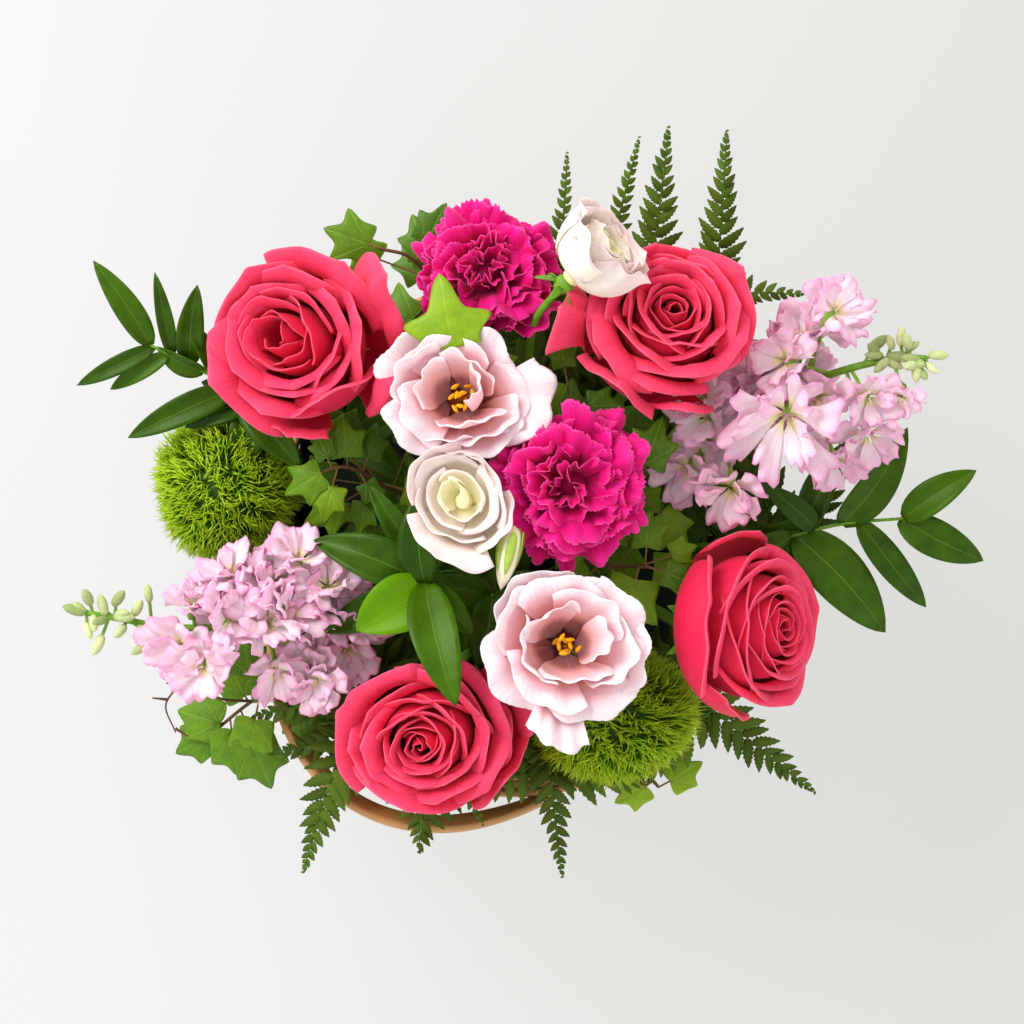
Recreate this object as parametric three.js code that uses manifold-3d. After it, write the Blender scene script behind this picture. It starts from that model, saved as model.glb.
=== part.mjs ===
// A round splint basket of cut flowers: roses, carnations, lisianthus, stock and greenery standing in foam.
// Millimetres, +Z up, origin at the middle of the basket's flat bottom, +X along the longest side.
import * as THREE from 'three';
import { mergeVertices } from 'three/addons/utils/BufferGeometryUtils.js';
import Module from 'manifold-3d';

const wasm = await Module();
wasm.setup();

// ---------------------------------------------------------------- driving dimensions
const BASKET_HEIGHT = 115; // top of the rim
const RIM_RADIUS = 127.5; // outside of the outer hoop
const BASE_RADIUS = 100; // outside of the wall at the bottom
const SIDES = 28; // flats round the basket, shared by wall and hoops so that their corners line up
const GAP = 0.35; // clearance between pieces that touch
const OUTER_HOOP = 3.5; // thickness
const INNER_HOOP = 3;
const HOOP_HEIGHT = 13;
const WALL = 4; // thickness of the woven wall
const FLOOR = 4; // thickness of the woven bottom
const WEAVE = 0.9; // how far a weaver stands out of the wall
const WEAVE_ROWS = 4;
const LINER_WALL = 1.2;
const FOAM_TOP = 110;
const FOAM_RADIUS = 90;
const FOAM_BOTTOM = FLOOR + GAP + LINER_WALL + GAP;
const STEM_END = 80; // height at which stems end inside the foam
const FAN = 0.45; // a stem enters the foam at this share of its bloom's distance from the middle
// flats: how many of the basket's flats lie between the middle of a handle and each foot
const HANDLE = {
  width: 10, thickness: 4.5, apex: 155, foot: 94, flats: 3, reach: 18, lean: 32, azimuth: -121,
};
const PETAL = 0.9; // thickness of petals
const BLADE = 0.9; // thickness of leaves
const ROSE_HEIGHT = 47; // calyx to whorl
const GOLDEN = 137.508; // degrees from one petal to the next
const TOLERANCE = 0.15; // how far a joined surface may be tidied

const COLOUR = {
  splint: 0xb98243, hoop: 0xc18b4c, liner: 0x1c1f1a, foam: 0x24331f,
  rose: 0xe8435f, carnation: 0xd4127f, blush: 0xf7d3da, cream: 0xf6f0d2, stamen: 0xe8a800,
  moss: 0x7fa516, stock: 0xe9bfdd, stem: 0x5f8a3c, ruscus: 0x3f7a1e, fern: 0x2f5a1e, ivy: 0x4c7f2a,
};

// ---------------------------------------------------------------- small tools
const vec = (x, y, z) => new THREE.Vector3(x, y, z);
const UP = vec(0, 0, 1);
const radians = THREE.MathUtils.degToRad;
const lerp = THREE.MathUtils.lerp;

function seeded(seed) {
  let state = seed;
  return () => {
    state = (state * 1664525 + 1013904223) % 4294967296;
    return state / 4294967296;
  };
}

// A horizontal direction at an azimuth in degrees, anticlockwise from +X.
const heading = (azimuth) => vec(Math.cos(radians(azimuth)), Math.sin(radians(azimuth)), 0);

// A closed three.js geometry as a solid for cutting and joining.
function solidOf(geometry) {
  const bare = geometry.clone();
  bare.deleteAttribute('normal');
  bare.deleteAttribute('uv');
  const merged = mergeVertices(bare, 1e-4);
  return new wasm.Manifold(new wasm.Mesh({
    numProp: 3,
    vertProperties: Float32Array.from(merged.attributes.position.array),
    triVerts: Uint32Array.from(merged.index.array),
  }));
}

function geometryOf(solid) {
  const mesh = solid.getMesh();
  const geometry = new THREE.BufferGeometry();
  geometry.setAttribute('position', new THREE.BufferAttribute(Float32Array.from(mesh.vertProperties), 3));
  geometry.setIndex(new THREE.BufferAttribute(Uint32Array.from(mesh.triVerts), 1));
  geometry.computeVertexNormals();
  return geometry;
}

function geometryFrom(points, triangles) {
  const geometry = new THREE.BufferGeometry();
  const values = points.flatMap((p) => [p.x, p.y, p.z]);
  geometry.setAttribute('position', new THREE.Float32BufferAttribute(values, 3));
  geometry.setIndex(triangles);
  return geometry;
}

// The largest connected body of a solid, with any sealed hollow inside it filled.
function onePiece(solid) {
  return solid.decompose().reduce((best, part) => (part.volume() > best.volume() ? part : best));
}

const fuse = (solids) => wasm.Manifold.union(solids);

// The solid grown by a distance, used as the clearance round a neighbour. Every corner moves along its
// normal far enough to carry each face that meets there out by the distance, up to twice that far.
function grown(solid, distance) {
  const geometry = geometryOf(solid);
  const position = geometry.attributes.position;
  const normal = geometry.attributes.normal;
  const corner = (i) => vec().fromBufferAttribute(position, i);
  const facing = new Array(position.count).fill(1);
  for (let t = 0; t < geometry.index.count; t += 3) {
    const ids = [0, 1, 2].map((k) => geometry.index.getX(t + k));
    const face = new THREE.Triangle(...ids.map(corner)).getNormal(vec());
    ids.forEach((id) => {
      facing[id] = Math.min(facing[id], face.dot(vec().fromBufferAttribute(normal, id)));
    });
  }
  const moved = facing.map((least, i) => {
    const step = distance / THREE.MathUtils.clamp(least, 0.5, 1);
    return corner(i).addScaledVector(vec().fromBufferAttribute(normal, i), step);
  });
  return solidOf(geometryFrom(moved, Array.from(geometry.index.array)));
}

// The matrix that stands a shape made along +Z on a base point, along an axis.
function frameAt(base, axis) {
  const turn = new THREE.Quaternion().setFromUnitVectors(UP, axis.clone().normalize());
  return new THREE.Matrix4().makeRotationFromQuaternion(turn).setPosition(base);
}

const standing = (solid, base, axis) => solid.transform(frameAt(base, axis).elements);

// ---------------------------------------------------------------- thin sheets, tubes and rings
// A closed sheet on a grid of points, rows[i][j]: two faces split alike and a wall round the edge.
function sheet(rows, thickness) {
  const height = rows.length;
  const width = rows[0].length;
  const within = (index, count) => THREE.MathUtils.clamp(index, 0, count - 1);
  const at = (i, j) => rows[within(i, height)][within(j, width)];
  const front = [];
  const back = [];
  for (let i = 0; i < height; i += 1) {
    for (let j = 0; j < width; j += 1) {
      const across = at(i, j + 1).clone().sub(at(i, j - 1));
      const along = at(i + 1, j).clone().sub(at(i - 1, j));
      const normal = across.cross(along).normalize();
      front.push(at(i, j).clone().addScaledVector(normal, thickness / 2));
      back.push(at(i, j).clone().addScaledVector(normal, -thickness / 2));
    }
  }
  const count = height * width;
  const triangles = [];
  for (let i = 0; i + 1 < height; i += 1) {
    for (let j = 0; j + 1 < width; j += 1) {
      const a = i * width + j;
      const [b, c, d] = [a + 1, a + width + 1, a + width];
      triangles.push(a, b, c, a, c, d);
      triangles.push(count + a, count + c, count + b, count + a, count + d, count + c);
    }
  }
  const rim = [];
  for (let j = 0; j < width; j += 1) rim.push(j);
  for (let i = 1; i < height; i += 1) rim.push(i * width + width - 1);
  for (let j = width - 2; j >= 0; j -= 1) rim.push((height - 1) * width + j);
  for (let i = height - 2; i > 0; i -= 1) rim.push(i * width);
  rim.forEach((a, k) => {
    const b = rim[(k + 1) % rim.length];
    triangles.push(a, count + a, count + b, a, count + b, b);
  });
  return solidOf(geometryFrom([...front, ...back], triangles));
}

// A closed flat-bladed solid from a middle point and a ring of outline points.
function fanBlade(middle, outline, thickness) {
  const count = outline.length;
  const lift = vec(0, 0, thickness / 2);
  const front = [middle, ...outline].map((p) => p.clone().add(lift));
  const back = [middle, ...outline].map((p) => p.clone().sub(lift));
  const under = count + 1;
  const triangles = [];
  for (let k = 0; k < count; k += 1) {
    const a = 1 + k;
    const b = 1 + ((k + 1) % count);
    triangles.push(0, a, b, under, under + b, under + a);
    triangles.push(a, under + a, under + b, a, under + b, b);
  }
  return geometryFrom([...front, ...back], triangles);
}

// The straight stretches between points as one path.
function pathOf(points) {
  const path = new THREE.CurvePath();
  points.slice(1).forEach((point, i) => path.add(new THREE.LineCurve3(points[i], point)));
  return path;
}

// A closed tube of a few flats with a ring at each point, from one radius to another.
function tube(points, startRadius, endRadius, flats = 5) {
  const ring = [];
  let side = null;
  points.forEach((centre, i) => {
    const before = points[Math.max(0, i - 1)];
    const after = points[Math.min(points.length - 1, i + 1)];
    const along = after.clone().sub(before).normalize();
    if (side === null) side = Math.abs(along.z) > 0.9 ? vec(1, 0, 0) : vec(0, 0, 1);
    side = side.clone().addScaledVector(along, -side.dot(along)).normalize();
    const across = along.clone().cross(side);
    const radius = lerp(startRadius, endRadius, i / (points.length - 1));
    for (let k = 0; k < flats; k += 1) {
      const turn = (k / flats) * 2 * Math.PI;
      ring.push(centre.clone()
        .addScaledVector(side, Math.cos(turn) * radius)
        .addScaledVector(across, Math.sin(turn) * radius));
    }
  });
  const last = (points.length - 1) * flats;
  const triangles = [];
  for (let a = 0; a < last; a += 1) {
    const b = a - (a % flats) + ((a + 1) % flats);
    triangles.push(a, b, b + flats, a, b + flats, a + flats);
  }
  for (let k = 1; k + 1 < flats; k += 1) {
    triangles.push(0, k + 1, k, last, last + k, last + k + 1);
  }
  return solidOf(geometryFrom(ring, triangles));
}

// A closed ring or cup: a profile of [radius, height] points turned round the axis in flats, with the first
// corner at azimuth start. radiusAt may change the radius of profile point i at flat k.
function turnedGeometry(profile, flats, closed, radiusAt = (radius) => radius, start = 0) {
  const points = [];
  const inside = profile.filter(([radius]) => radius > 0);
  for (let k = 0; k < flats; k += 1) {
    const out = heading(start + (k / flats) * 360);
    inside.forEach(([radius, height], i) => {
      points.push(out.clone().multiplyScalar(radiusAt(radius, i, k)).setZ(height));
    });
  }
  const rows = inside.length;
  const triangles = [];
  const last = closed ? rows : rows - 1;
  for (let k = 0; k < flats; k += 1) {
    const next = (k + 1) % flats;
    for (let i = 0; i < last; i += 1) {
      const j = (i + 1) % rows;
      const [a, b, c, d] = [k * rows + i, next * rows + i, next * rows + j, k * rows + j];
      triangles.push(a, b, c, a, c, d);
    }
  }
  if (!closed) {
    const bottom = points.push(vec(0, 0, profile[0][1])) - 1;
    const top = points.push(vec(0, 0, profile[profile.length - 1][1])) - 1;
    for (let k = 0; k < flats; k += 1) {
      const next = (k + 1) % flats;
      triangles.push(bottom, next * rows, k * rows, top, k * rows + rows - 1, next * rows + rows - 1);
    }
  }
  return geometryFrom(points, triangles);
}

const turned = (...shape) => solidOf(turnedGeometry(...shape));

// ---------------------------------------------------------------- the basket
const OUTER_HOOP_IN = RIM_RADIUS - OUTER_HOOP;
const WALL_OUT = OUTER_HOOP_IN - GAP;
const WALL_IN = WALL_OUT - WALL;
const INNER_HOOP_OUT = WALL_IN - GAP;
const INNER_HOOP_IN = INNER_HOOP_OUT - INNER_HOOP;
const BAND_BOTTOM = BASKET_HEIGHT - HOOP_HEIGHT;

// The basket's pieces share their corners, and a handle stands on the middle of a flat.
const ROUND = (radius) => radius;
const FIRST_CORNER = HANDLE.azimuth + 180 / SIDES;
const FLAT_RADIUS = RIM_RADIUS * Math.cos(Math.PI / SIDES);
const HALF_SPAN = (HANDLE.flats * 360) / SIDES;

// Radius of the wall's outside at a height, before the weave.
const wallRadius = (height) => lerp(BASE_RADIUS, WALL_OUT, Math.min(1, height / (BAND_BOTTOM - 2)));

function basket() {
  const profile = [[0, 0], [BASE_RADIUS, 0]];
  const rowHeight = (BAND_BOTTOM - 4) / WEAVE_ROWS;
  for (let row = 0; row < WEAVE_ROWS; row += 1) {
    const height = (row + 0.5) * rowHeight + 1;
    profile.push([wallRadius(height), height]);
  }
  profile.push([WALL_OUT, BAND_BOTTOM - 2], [WALL_OUT, BASKET_HEIGHT - 1], [WALL_IN, BASKET_HEIGHT - 1]);
  profile.push([WALL_IN, BAND_BOTTOM - 2], [BASE_RADIUS - WALL, FLOOR], [0, FLOOR]);
  const woven = (radius, i, k) => {
    const inWeave = i >= 1 && i <= WEAVE_ROWS;
    return inWeave ? radius + WEAVE * ((i + k) % 2 ? 1 : -1) : radius;
  };
  return turned(profile, SIDES, false, woven, FIRST_CORNER);
}

function hoop(inside, outside) {
  const low = [[inside, BAND_BOTTOM], [outside, BAND_BOTTOM]];
  const high = [[outside, BASKET_HEIGHT], [inside, BASKET_HEIGHT]];
  return turned([...low, ...high], SIDES, true, ROUND, FIRST_CORNER);
}

function liner() {
  const bottom = FLOOR + GAP;
  const low = BASE_RADIUS - WALL - 1.5;
  const high = INNER_HOOP_IN - 1;
  const profile = [
    [0, bottom], [low, bottom], [high, BASKET_HEIGHT - 3], [high - LINER_WALL, BASKET_HEIGHT - 3],
    [low - LINER_WALL, bottom + LINER_WALL], [0, bottom + LINER_WALL],
  ];
  return turned(profile, SIDES / 2, false, ROUND, FIRST_CORNER);
}

function foam() {
  const profile = [[0, FOAM_BOTTOM], [FOAM_RADIUS, FOAM_BOTTOM], [FOAM_RADIUS, FOAM_TOP], [0, FOAM_TOP]];
  return turned(profile, SIDES / 2, false, ROUND, FIRST_CORNER);
}

// A bent splint: it starts flat against the hoop, rises and leans out in an arch, and comes down again.
function handle(azimuth) {
  const steps = 12;
  const { width, thickness, apex, foot, reach, lean } = HANDLE;
  const footRadius = FLAT_RADIUS + GAP + thickness / 2;
  const stations = [];
  for (let i = 0; i <= steps; i += 1) {
    const share = (i / steps) * 2 - 1;
    const arch = Math.max(0, Math.cos((share * Math.PI) / 2));
    const out = heading(azimuth + share * HALF_SPAN);
    const tilt = radians(lean * Math.min(1, arch * 1.6));
    const face = out.clone().multiplyScalar(Math.cos(tilt)).setZ(-Math.sin(tilt));
    const height = lerp(foot, apex, arch ** 0.55);
    const centre = out.multiplyScalar(footRadius + reach * arch ** 1.4).setZ(height);
    stations.push({ centre, face });
  }
  const rows = stations.map(({ centre, face }, i) => {
    const before = stations[Math.max(0, i - 1)].centre;
    const after = stations[Math.min(steps, i + 1)].centre;
    const across = face.clone().cross(after.clone().sub(before)).normalize().multiplyScalar(width / 2);
    return [centre.clone().sub(across), centre.clone().add(across)];
  });
  return sheet(rows, thickness);
}

// ---------------------------------------------------------------- petals
function bezier(control, v) {
  const w = 1 - v;
  const weight = [w * w * w, 3 * w * w * v, 3 * w * v * v, v * v * v];
  return [0, 1].map((axis) => control.reduce((sum, point, i) => sum + weight[i] * point[axis], 0));
}

// Profiles of the youngest, middle and oldest petal, each four [radius, height] control points.
const ROSE = {
  young: [[3, 10], [7, 22], [6, 38], [3.5, ROSE_HEIGHT]],
  middle: [[4, 6], [24, 12], [25, 34], [21, 45]],
  old: [[4, 3], [34, 0], [40, 26], [43, 31]],
  spread: [75, 46, 39], petals: 7, columns: 2, rows: 2, wave: 0, fringe: 0,
};
const CARNATION = {
  young: [[3, 10], [3, 20], [3, 28], [2, 33]],
  middle: [[4, 8], [13, 18], [19, 26], [22, 30]],
  old: [[4, 5], [16, 6], [31, 9], [38, 13]],
  spread: [60, 44, 36], petals: 8, columns: 3, rows: 2, wave: 1.1, fringe: 0.13,
};
const BLUSH = {
  young: [[4, 4], [10, 12], [17, 22], [19, 27]],
  middle: [[4, 3], [14, 7], [26, 18], [29, 23]],
  old: [[4, 1], [19, 2], [34, 12], [40, 18]],
  spread: [42, 38, 36], petals: 7, columns: 3, rows: 2, wave: 1.6, fringe: 0,
};
const CREAM = {
  young: [[2, 8], [6, 18], [6, 26], [4, 30]],
  middle: [[3, 5], [13, 10], [16, 22], [15, 29]],
  old: [[3, 3], [18, 4], [24, 18], [27, 24]],
  spread: [70, 48, 42], petals: 5, columns: 2, rows: 2, wave: 0.5, fringe: 0,
};

// Control points and half angle of a petal of an age between 0 (innermost) and 1 (outermost).
function petalForm(kind, age) {
  const [from, to, share] = age < 0.5 ? [0, 1, age * 2] : [1, 2, age * 2 - 1];
  const profiles = [kind.young, kind.middle, kind.old];
  const blend = (value, other) => lerp(value, other, share);
  const control = profiles[from].map((point, i) => point.map((value, a) => blend(value, profiles[to][i][a])));
  return { control, half: lerp(kind.spread[from], kind.spread[to], share) };
}

// A petal as a patch of a turned surface: the profile swept through an angle that opens towards the margin.
function petal(kind, age, azimuth, reach = 1, narrow = 1) {
  const { control, half } = petalForm(kind, age);
  const rows = [];
  for (let i = 0; i <= kind.rows; i += 1) {
    const v = i / kind.rows;
    const row = [];
    for (let j = 0; j <= kind.columns; j += 1) {
      const u = (j / kind.columns) * 2 - 1;
      const margin = 1 - 0.22 * Math.abs(u) ** 2.5 - kind.fringe * (j % 2);
      const [radius, height] = bezier(control, v * margin);
      const opened = 0.35 + 0.65 * Math.sin(Math.min(1, v / 0.6) * Math.PI / 2);
      const ripple = kind.wave * Math.cos(j * Math.PI) * v * v;
      const stretch = 1 + (reach - 1) * v * margin;
      const out = heading(azimuth + u * half * opened * narrow);
      row.push(out.multiplyScalar(radius * stretch).setZ(height + ripple));
    }
    rows.push(row);
  }
  return sheet(rows, PETAL);
}

// The rolled heart of a bloom: one strip wound one and a half turns, opening a little with each turn.
function heart(low, high, radius, steps) {
  const rows = [];
  for (let i = 0; i <= steps; i += 1) {
    const share = i / steps;
    const out = heading(share * 540);
    const wide = 1.5 + radius * share;
    const foot = out.clone().multiplyScalar(wide * 0.7).setZ(low);
    rows.push([foot, out.multiplyScalar(wide).setZ(high - share)]);
  }
  return sheet(rows, PETAL);
}

// A dome turned from a few points, sunk under the petals to hold them together.
const core = (profile, flats = 6) => turned(profile, flats, false);

function bloom(kind, { guards = [], middle = [] }) {
  const parts = [...middle];
  for (let k = 0; k < kind.petals; k += 1) {
    parts.push(petal(kind, Math.sqrt((k + 1) / kind.petals), k * GOLDEN));
  }
  guards.forEach(([azimuth, reach]) => parts.push(petal(kind, 1, azimuth, reach / kind.old[3][0], 0.75)));
  return onePiece(fuse(parts)).simplify(TOLERANCE);
}

const roseHead = (spec) => bloom(ROSE, {
  ...spec,
  middle: [core([[0, 0], [5, 0], [8, 8], [5, 18], [0, 20]]), heart(14, ROSE_HEIGHT, 5, 6)],
});
const carnationHead = (spec) => bloom(CARNATION, {
  ...spec,
  middle: [core([[0, 0], [5, 0], [9, 9], [12, 14], [9, 20], [0, 23]])],
});
const blushHead = (spec) => bloom(BLUSH, { ...spec, middle: [core([[0, 0], [4, 0], [7, 6], [0, 7.5]])] });
const creamHead = (spec) => bloom(CREAM, {
  ...spec,
  middle: [core([[0, 0], [4, 0], [6, 8], [3, 14], [0, 16]]), heart(10, 30, 3, 5)],
});

// Five stamens round a pistil, rising from the floor of an open lisianthus.
function stamens() {
  const parts = [core([[0, 7], [2.6, 8], [0, 15]], 4)];
  for (let k = 0; k < 5; k += 1) {
    const out = heading(k * 72 + 20);
    const foot = out.clone().multiplyScalar(1.2).setZ(9);
    parts.push(tube([foot, out.multiplyScalar(8).setZ(17)], 0.5, 1.4, 3));
  }
  return onePiece(fuse(parts)).simplify(TOLERANCE);
}

// ---------------------------------------------------------------- stems
// The upright end of a stem that enters the foam at [x, y], from its cut end to just above the foam.
const stemFoot = ([x, y]) => [vec(x, y, STEM_END), vec(x, y, FOAM_TOP + 2)];

// A whole stem: its end in the foam, then the points of its path.
const rooted = (entry, path) => [...stemFoot(entry), ...path.map((point) => vec(...point))];

// A stem with its calyx: a cup under the bloom and a star of four sepals turned down from it.
function flowerStem({ base, axis, bend, entry, bud }, { radius, cup, sepals }) {
  const under = base.clone().addScaledVector(axis, -cup * 0.5);
  const foot = stemFoot(entry ?? [base.x * FAN, base.y * FAN]);
  const points = [...foot, ...(bend ? [vec(...bend)] : []), under];
  const tip = -cup * 0.9;
  const star = [[radius + 0.6, -cup], [sepals, tip - BLADE], [sepals, tip], [5, -GAP]];
  const lobed = (distance, i, k) => ((i === 1 || i === 2) && k % 2 ? 4.5 : distance);
  const calyx = standing(turned([[0, -cup], ...star, [0, -GAP]], 8, false, lobed), base, axis);
  const branch = bud ? budBranch(bud) : [];
  return onePiece(fuse([tube(points, radius, radius, 4), calyx, ...branch])).simplify(TOLERANCE);
}

// A closed bud on a stalk of its own that branches from a flower's stem.
function budBranch({ path, axis, length }) {
  const stalk = path.map((point) => vec(...point));
  const shape = core([[0, -2], [2, -2], [5, length * 0.3], [4, length * 0.7], [0, length]]);
  return [tube(stalk, 1.2, 1.2, 4), standing(shape, stalk[stalk.length - 1], vec(...axis))];
}

// ---------------------------------------------------------------- leaves
// A lance-shaped leaf from a base point, arched along its length.
function lanceLeaf(base, azimuth, length, width, rise, roll = 0) {
  const out = heading(azimuth).multiplyScalar(length).setZ(rise);
  const along = out.clone().normalize();
  const side = UP.clone().cross(along).normalize().applyAxisAngle(along, radians(roll));
  const lift = along.clone().cross(side).normalize();
  const stations = [[0, 0.12], [0.26, 0.86], [0.64, 0.86], [1, 0.06]];
  const rows = stations.map(([v, share]) => {
    const bow = Math.sin(v * Math.PI) * length * 0.07;
    const rib = base.clone().addScaledVector(out, v).addScaledVector(lift, bow);
    const half = (width / 2) * share;
    return [rib.clone().addScaledVector(side, half), rib.clone().addScaledVector(side, -half)];
  });
  return sheet(rows, BLADE);
}

// A leafy stem: each leaf is [share along the stem, azimuth, length, width, rise, roll].
function leafyStem({ entry, path, leaves }) {
  const points = rooted(entry, path);
  const curve = pathOf(points);
  const parts = [tube(points, 1.5, 0.9, 3)];
  leaves.forEach(([share, azimuth, length, width, rise, roll]) => {
    const root = curve.getPoint(share).addScaledVector(heading(azimuth), -0.8);
    parts.push(lanceLeaf(root, azimuth, length, width, rise, roll));
  });
  return onePiece(fuse(parts)).simplify(TOLERANCE);
}

// A fern frond: a stalk, then one thin arched blade whose outline is cut to the rib between its leaflets.
const FROND = { share: 0.42, rib: 0.9, lean: 0.32, droop: 0.12 };

// Points across the rib of a frond at leaflet k: the notch and the leaflet's tip on one side.
function frondSide(curve, width, pairs, k, side) {
  const at = Math.min(1, lerp(1 - FROND.share, 1, k / pairs));
  const centre = curve.getPointAt(at);
  const along = curve.getTangentAt(at);
  const out = UP.clone().cross(along).normalize().multiplyScalar(side);
  const taper = 1 - k / (pairs + 1);
  const notch = centre.clone().addScaledVector(out, FROND.rib * taper + 0.2);
  if (k === pairs) return [notch];
  const pitch = (curve.getLength() * FROND.share) / pairs;
  const reach = (width / 2) * lerp(0.25, 1, taper) * Math.min(1, 0.6 + k * 0.2);
  const tip = centre.clone().addScaledVector(out, reach);
  tip.addScaledVector(along, pitch * 0.5 + reach * FROND.lean).addScaledVector(UP, -reach * FROND.droop);
  return [notch, tip];
}

function frond({ entry, path, width, pairs = 6 }) {
  const stem = rooted(entry, path);
  const curve = new THREE.CatmullRomCurve3(stem, false, 'centripetal');
  const numbers = Array.from({ length: pairs + 1 }, (_, k) => k);
  const outline = [1, -1].map((side) => numbers.flatMap((k) => frondSide(curve, width, pairs, k, side)));
  const flat = outline.flat();
  const lift = vec(0, 0, BLADE / 2);
  const points = [...flat.map((p) => p.clone().add(lift)), ...flat.map((p) => p.clone().sub(lift))];
  const count = flat.length;
  const triangles = [];
  // Each side runs notch, tip, notch; the right side's points follow the left's.
  for (let k = 0; k < pairs; k += 1) {
    const [la, lt, lb] = [2 * k, 2 * k + 1, 2 * k + 2];
    const [ra, rt, rb] = [la, lt, lb].map((index) => index + outline[0].length);
    [[ra, lb, la], [ra, rb, lb], [la, lb, lt], [ra, rt, rb]].forEach(([a, b, c]) => {
      triangles.push(a, b, c, count + a, count + c, count + b);
    });
  }
  const left = outline[0].map((_, k) => k);
  const loop = [...left.map((k) => k + outline[0].length), ...left.reverse()];
  loop.forEach((a, k) => {
    const b = loop[(k + 1) % loop.length];
    triangles.push(a, count + a, count + b, a, count + b, b);
  });
  const stalkEnd = curve.getPointAt(1 - FROND.share + (0.5 * FROND.share) / pairs);
  const stalk = tube([...stem.slice(0, 3), stalkEnd], 1.3, 0.9, 3);
  return onePiece(fuse([solidOf(geometryFrom(points, triangles)), stalk])).simplify(TOLERANCE);
}

// Outline of an ivy leaf in its own frame: [turn from the tip in degrees, share of the size].
const IVY_OUTLINE = [[0, 1], [24, 0.5], [56, 0.84], [88, 0.5], [126, 0.64]];

// An ivy leaf with five lobes, cupped a little, cut from one blade together with its stalk from the vine.
function ivyLeaf(root, azimuth, size, stalk, tilt) {
  const out = heading(azimuth);
  const across = heading(azimuth + 90);
  const middle = root.clone().addScaledVector(out, stalk).add(vec(0, 0, 2));
  const point = ([turn, share], sign) => {
    const forward = Math.cos(radians(turn)) * share * size * 0.62;
    const sideways = Math.sin(radians(turn)) * share * size * 0.62 * sign;
    const drop = -0.16 * share * share * size + tilt * forward;
    const spot = middle.clone().addScaledVector(out, forward).addScaledVector(across, sideways);
    return spot.addScaledVector(UP, drop);
  };
  const outline = [
    ...IVY_OUTLINE.map((p) => point(p, 1)),
    root.clone().addScaledVector(across, 0.9),
    root.clone().addScaledVector(across, -0.9),
    ...IVY_OUTLINE.slice(1).reverse().map((p) => point(p, -1)),
  ];
  return solidOf(fanBlade(middle, outline, BLADE));
}

// An ivy runner: each leaf is [share along the runner, azimuth, size, stalk length, tilt].
function ivyRunner({ entry, path, leaves }) {
  const points = rooted(entry, path);
  const curve = pathOf(points);
  const parts = [tube(points, 1.3, 1, 3)];
  leaves.forEach(([share, azimuth, size, stalk, tilt = 0]) => {
    parts.push(ivyLeaf(curve.getPoint(share), azimuth, size, stalk, tilt));
  });
  return onePiece(fuse(parts)).simplify(TOLERANCE);
}

// ---------------------------------------------------------------- green balls and stock
const BALL = { radius: 28, reach: 37, shortest: 0.9, stray: 6, stem: 2.2 };

// A round head of green bracts: each face of a smaller ball is drawn out to a point.
function greenBall(centre, entry, seed) {
  const random = seeded(seed);
  const sphere = new THREE.IcosahedronGeometry(BALL.radius, 1).attributes.position;
  const points = [];
  const triangles = [];
  for (let face = 0; face < sphere.count; face += 3) {
    const corner = [0, 1, 2].map((k) => vec().fromBufferAttribute(sphere, face + k));
    const length = BALL.reach * lerp(BALL.shortest, 1, random());
    const tip = corner[0].clone().add(corner[1]).add(corner[2]).setLength(length);
    tip.add(vec(random() - 0.5, random() - 0.5, random() - 0.5).multiplyScalar(BALL.stray));
    const first = points.push(...corner, tip) - 4;
    for (let k = 0; k < 3; k += 1) {
      triangles.push(first + k, first + ((k + 1) % 3), first + 3);
    }
  }
  const head = solidOf(geometryFrom(points, triangles)).translate([centre.x, centre.y, centre.z]);
  const neck = centre.clone().setZ(centre.z - BALL.radius / 2);
  const stem = tube([...stemFoot(entry), neck], BALL.stem, BALL.stem, 4);
  return onePiece(fuse([head, stem]));
}

// A floret on its stalk as one turned solid whose radius swells and narrows: an outer star, in the larger
// florets a raised inner one, and below them a cone drawn out to the root in the stem.
function floret(root, middle, size, facing) {
  const lobes = 4;
  const outer = [[0, -5], [1.5, -2.5], [size, size * 0.1 - BLADE], [size, size * 0.1]];
  const inner = size > 13 ? [[size * 0.42, 1], [size * 0.62, 4.2], [0, 2.4]] : [[0, 1.5]];
  const profile = [...outer, ...inner];
  const lobed = (radius, i, k) => {
    if (i === 0 || i === 3) return radius;
    const notch = i === 4 ? k % 2 === 0 : k % 2 === 1;
    return notch ? radius * 0.62 : radius;
  };
  const geometry = turnedGeometry(profile, lobes * 2, false, lobed).applyMatrix4(frameAt(middle, facing));
  const stalkEnd = geometry.attributes.position.count - 2;
  geometry.attributes.position.setXYZ(stalkEnd, root.x, root.y, root.z);
  return solidOf(geometry);
}

// A spike of stock: florets [share, azimuth, reach, rise, size] on short stalks, and towards the tip
// buds [share, azimuth, reach].
function stockSpike({ entry, path, florets, buds }) {
  const points = rooted(entry, path);
  const curve = pathOf(points);
  const parts = [tube(points, 2.8, 1.6, 4)];
  florets.forEach(([share, azimuth, reach, rise, size]) => {
    const root = curve.getPoint(share);
    const away = heading(azimuth).multiplyScalar(reach).setZ(rise);
    const facing = heading(azimuth).multiplyScalar(0.35 + reach * 0.012).setZ(1);
    const sunk = root.clone().addScaledVector(away, -1.5 / away.length());
    parts.push(floret(sunk, root.clone().add(away), size, facing));
  });
  buds.forEach(([share, azimuth, reach]) => {
    const root = curve.getPoint(share);
    const tip = root.clone().addScaledVector(heading(azimuth), reach).add(vec(0, 0, 3));
    const bud = new THREE.OctahedronGeometry(1, 0).scale(3.6, 3.6, 5).rotateY(radians(40));
    parts.push(solidOf(bud.translate(tip.x, tip.y, tip.z)), tube([root, tip], 1, 1, 3));
  });
  return onePiece(fuse(parts)).simplify(TOLERANCE);
}

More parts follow.
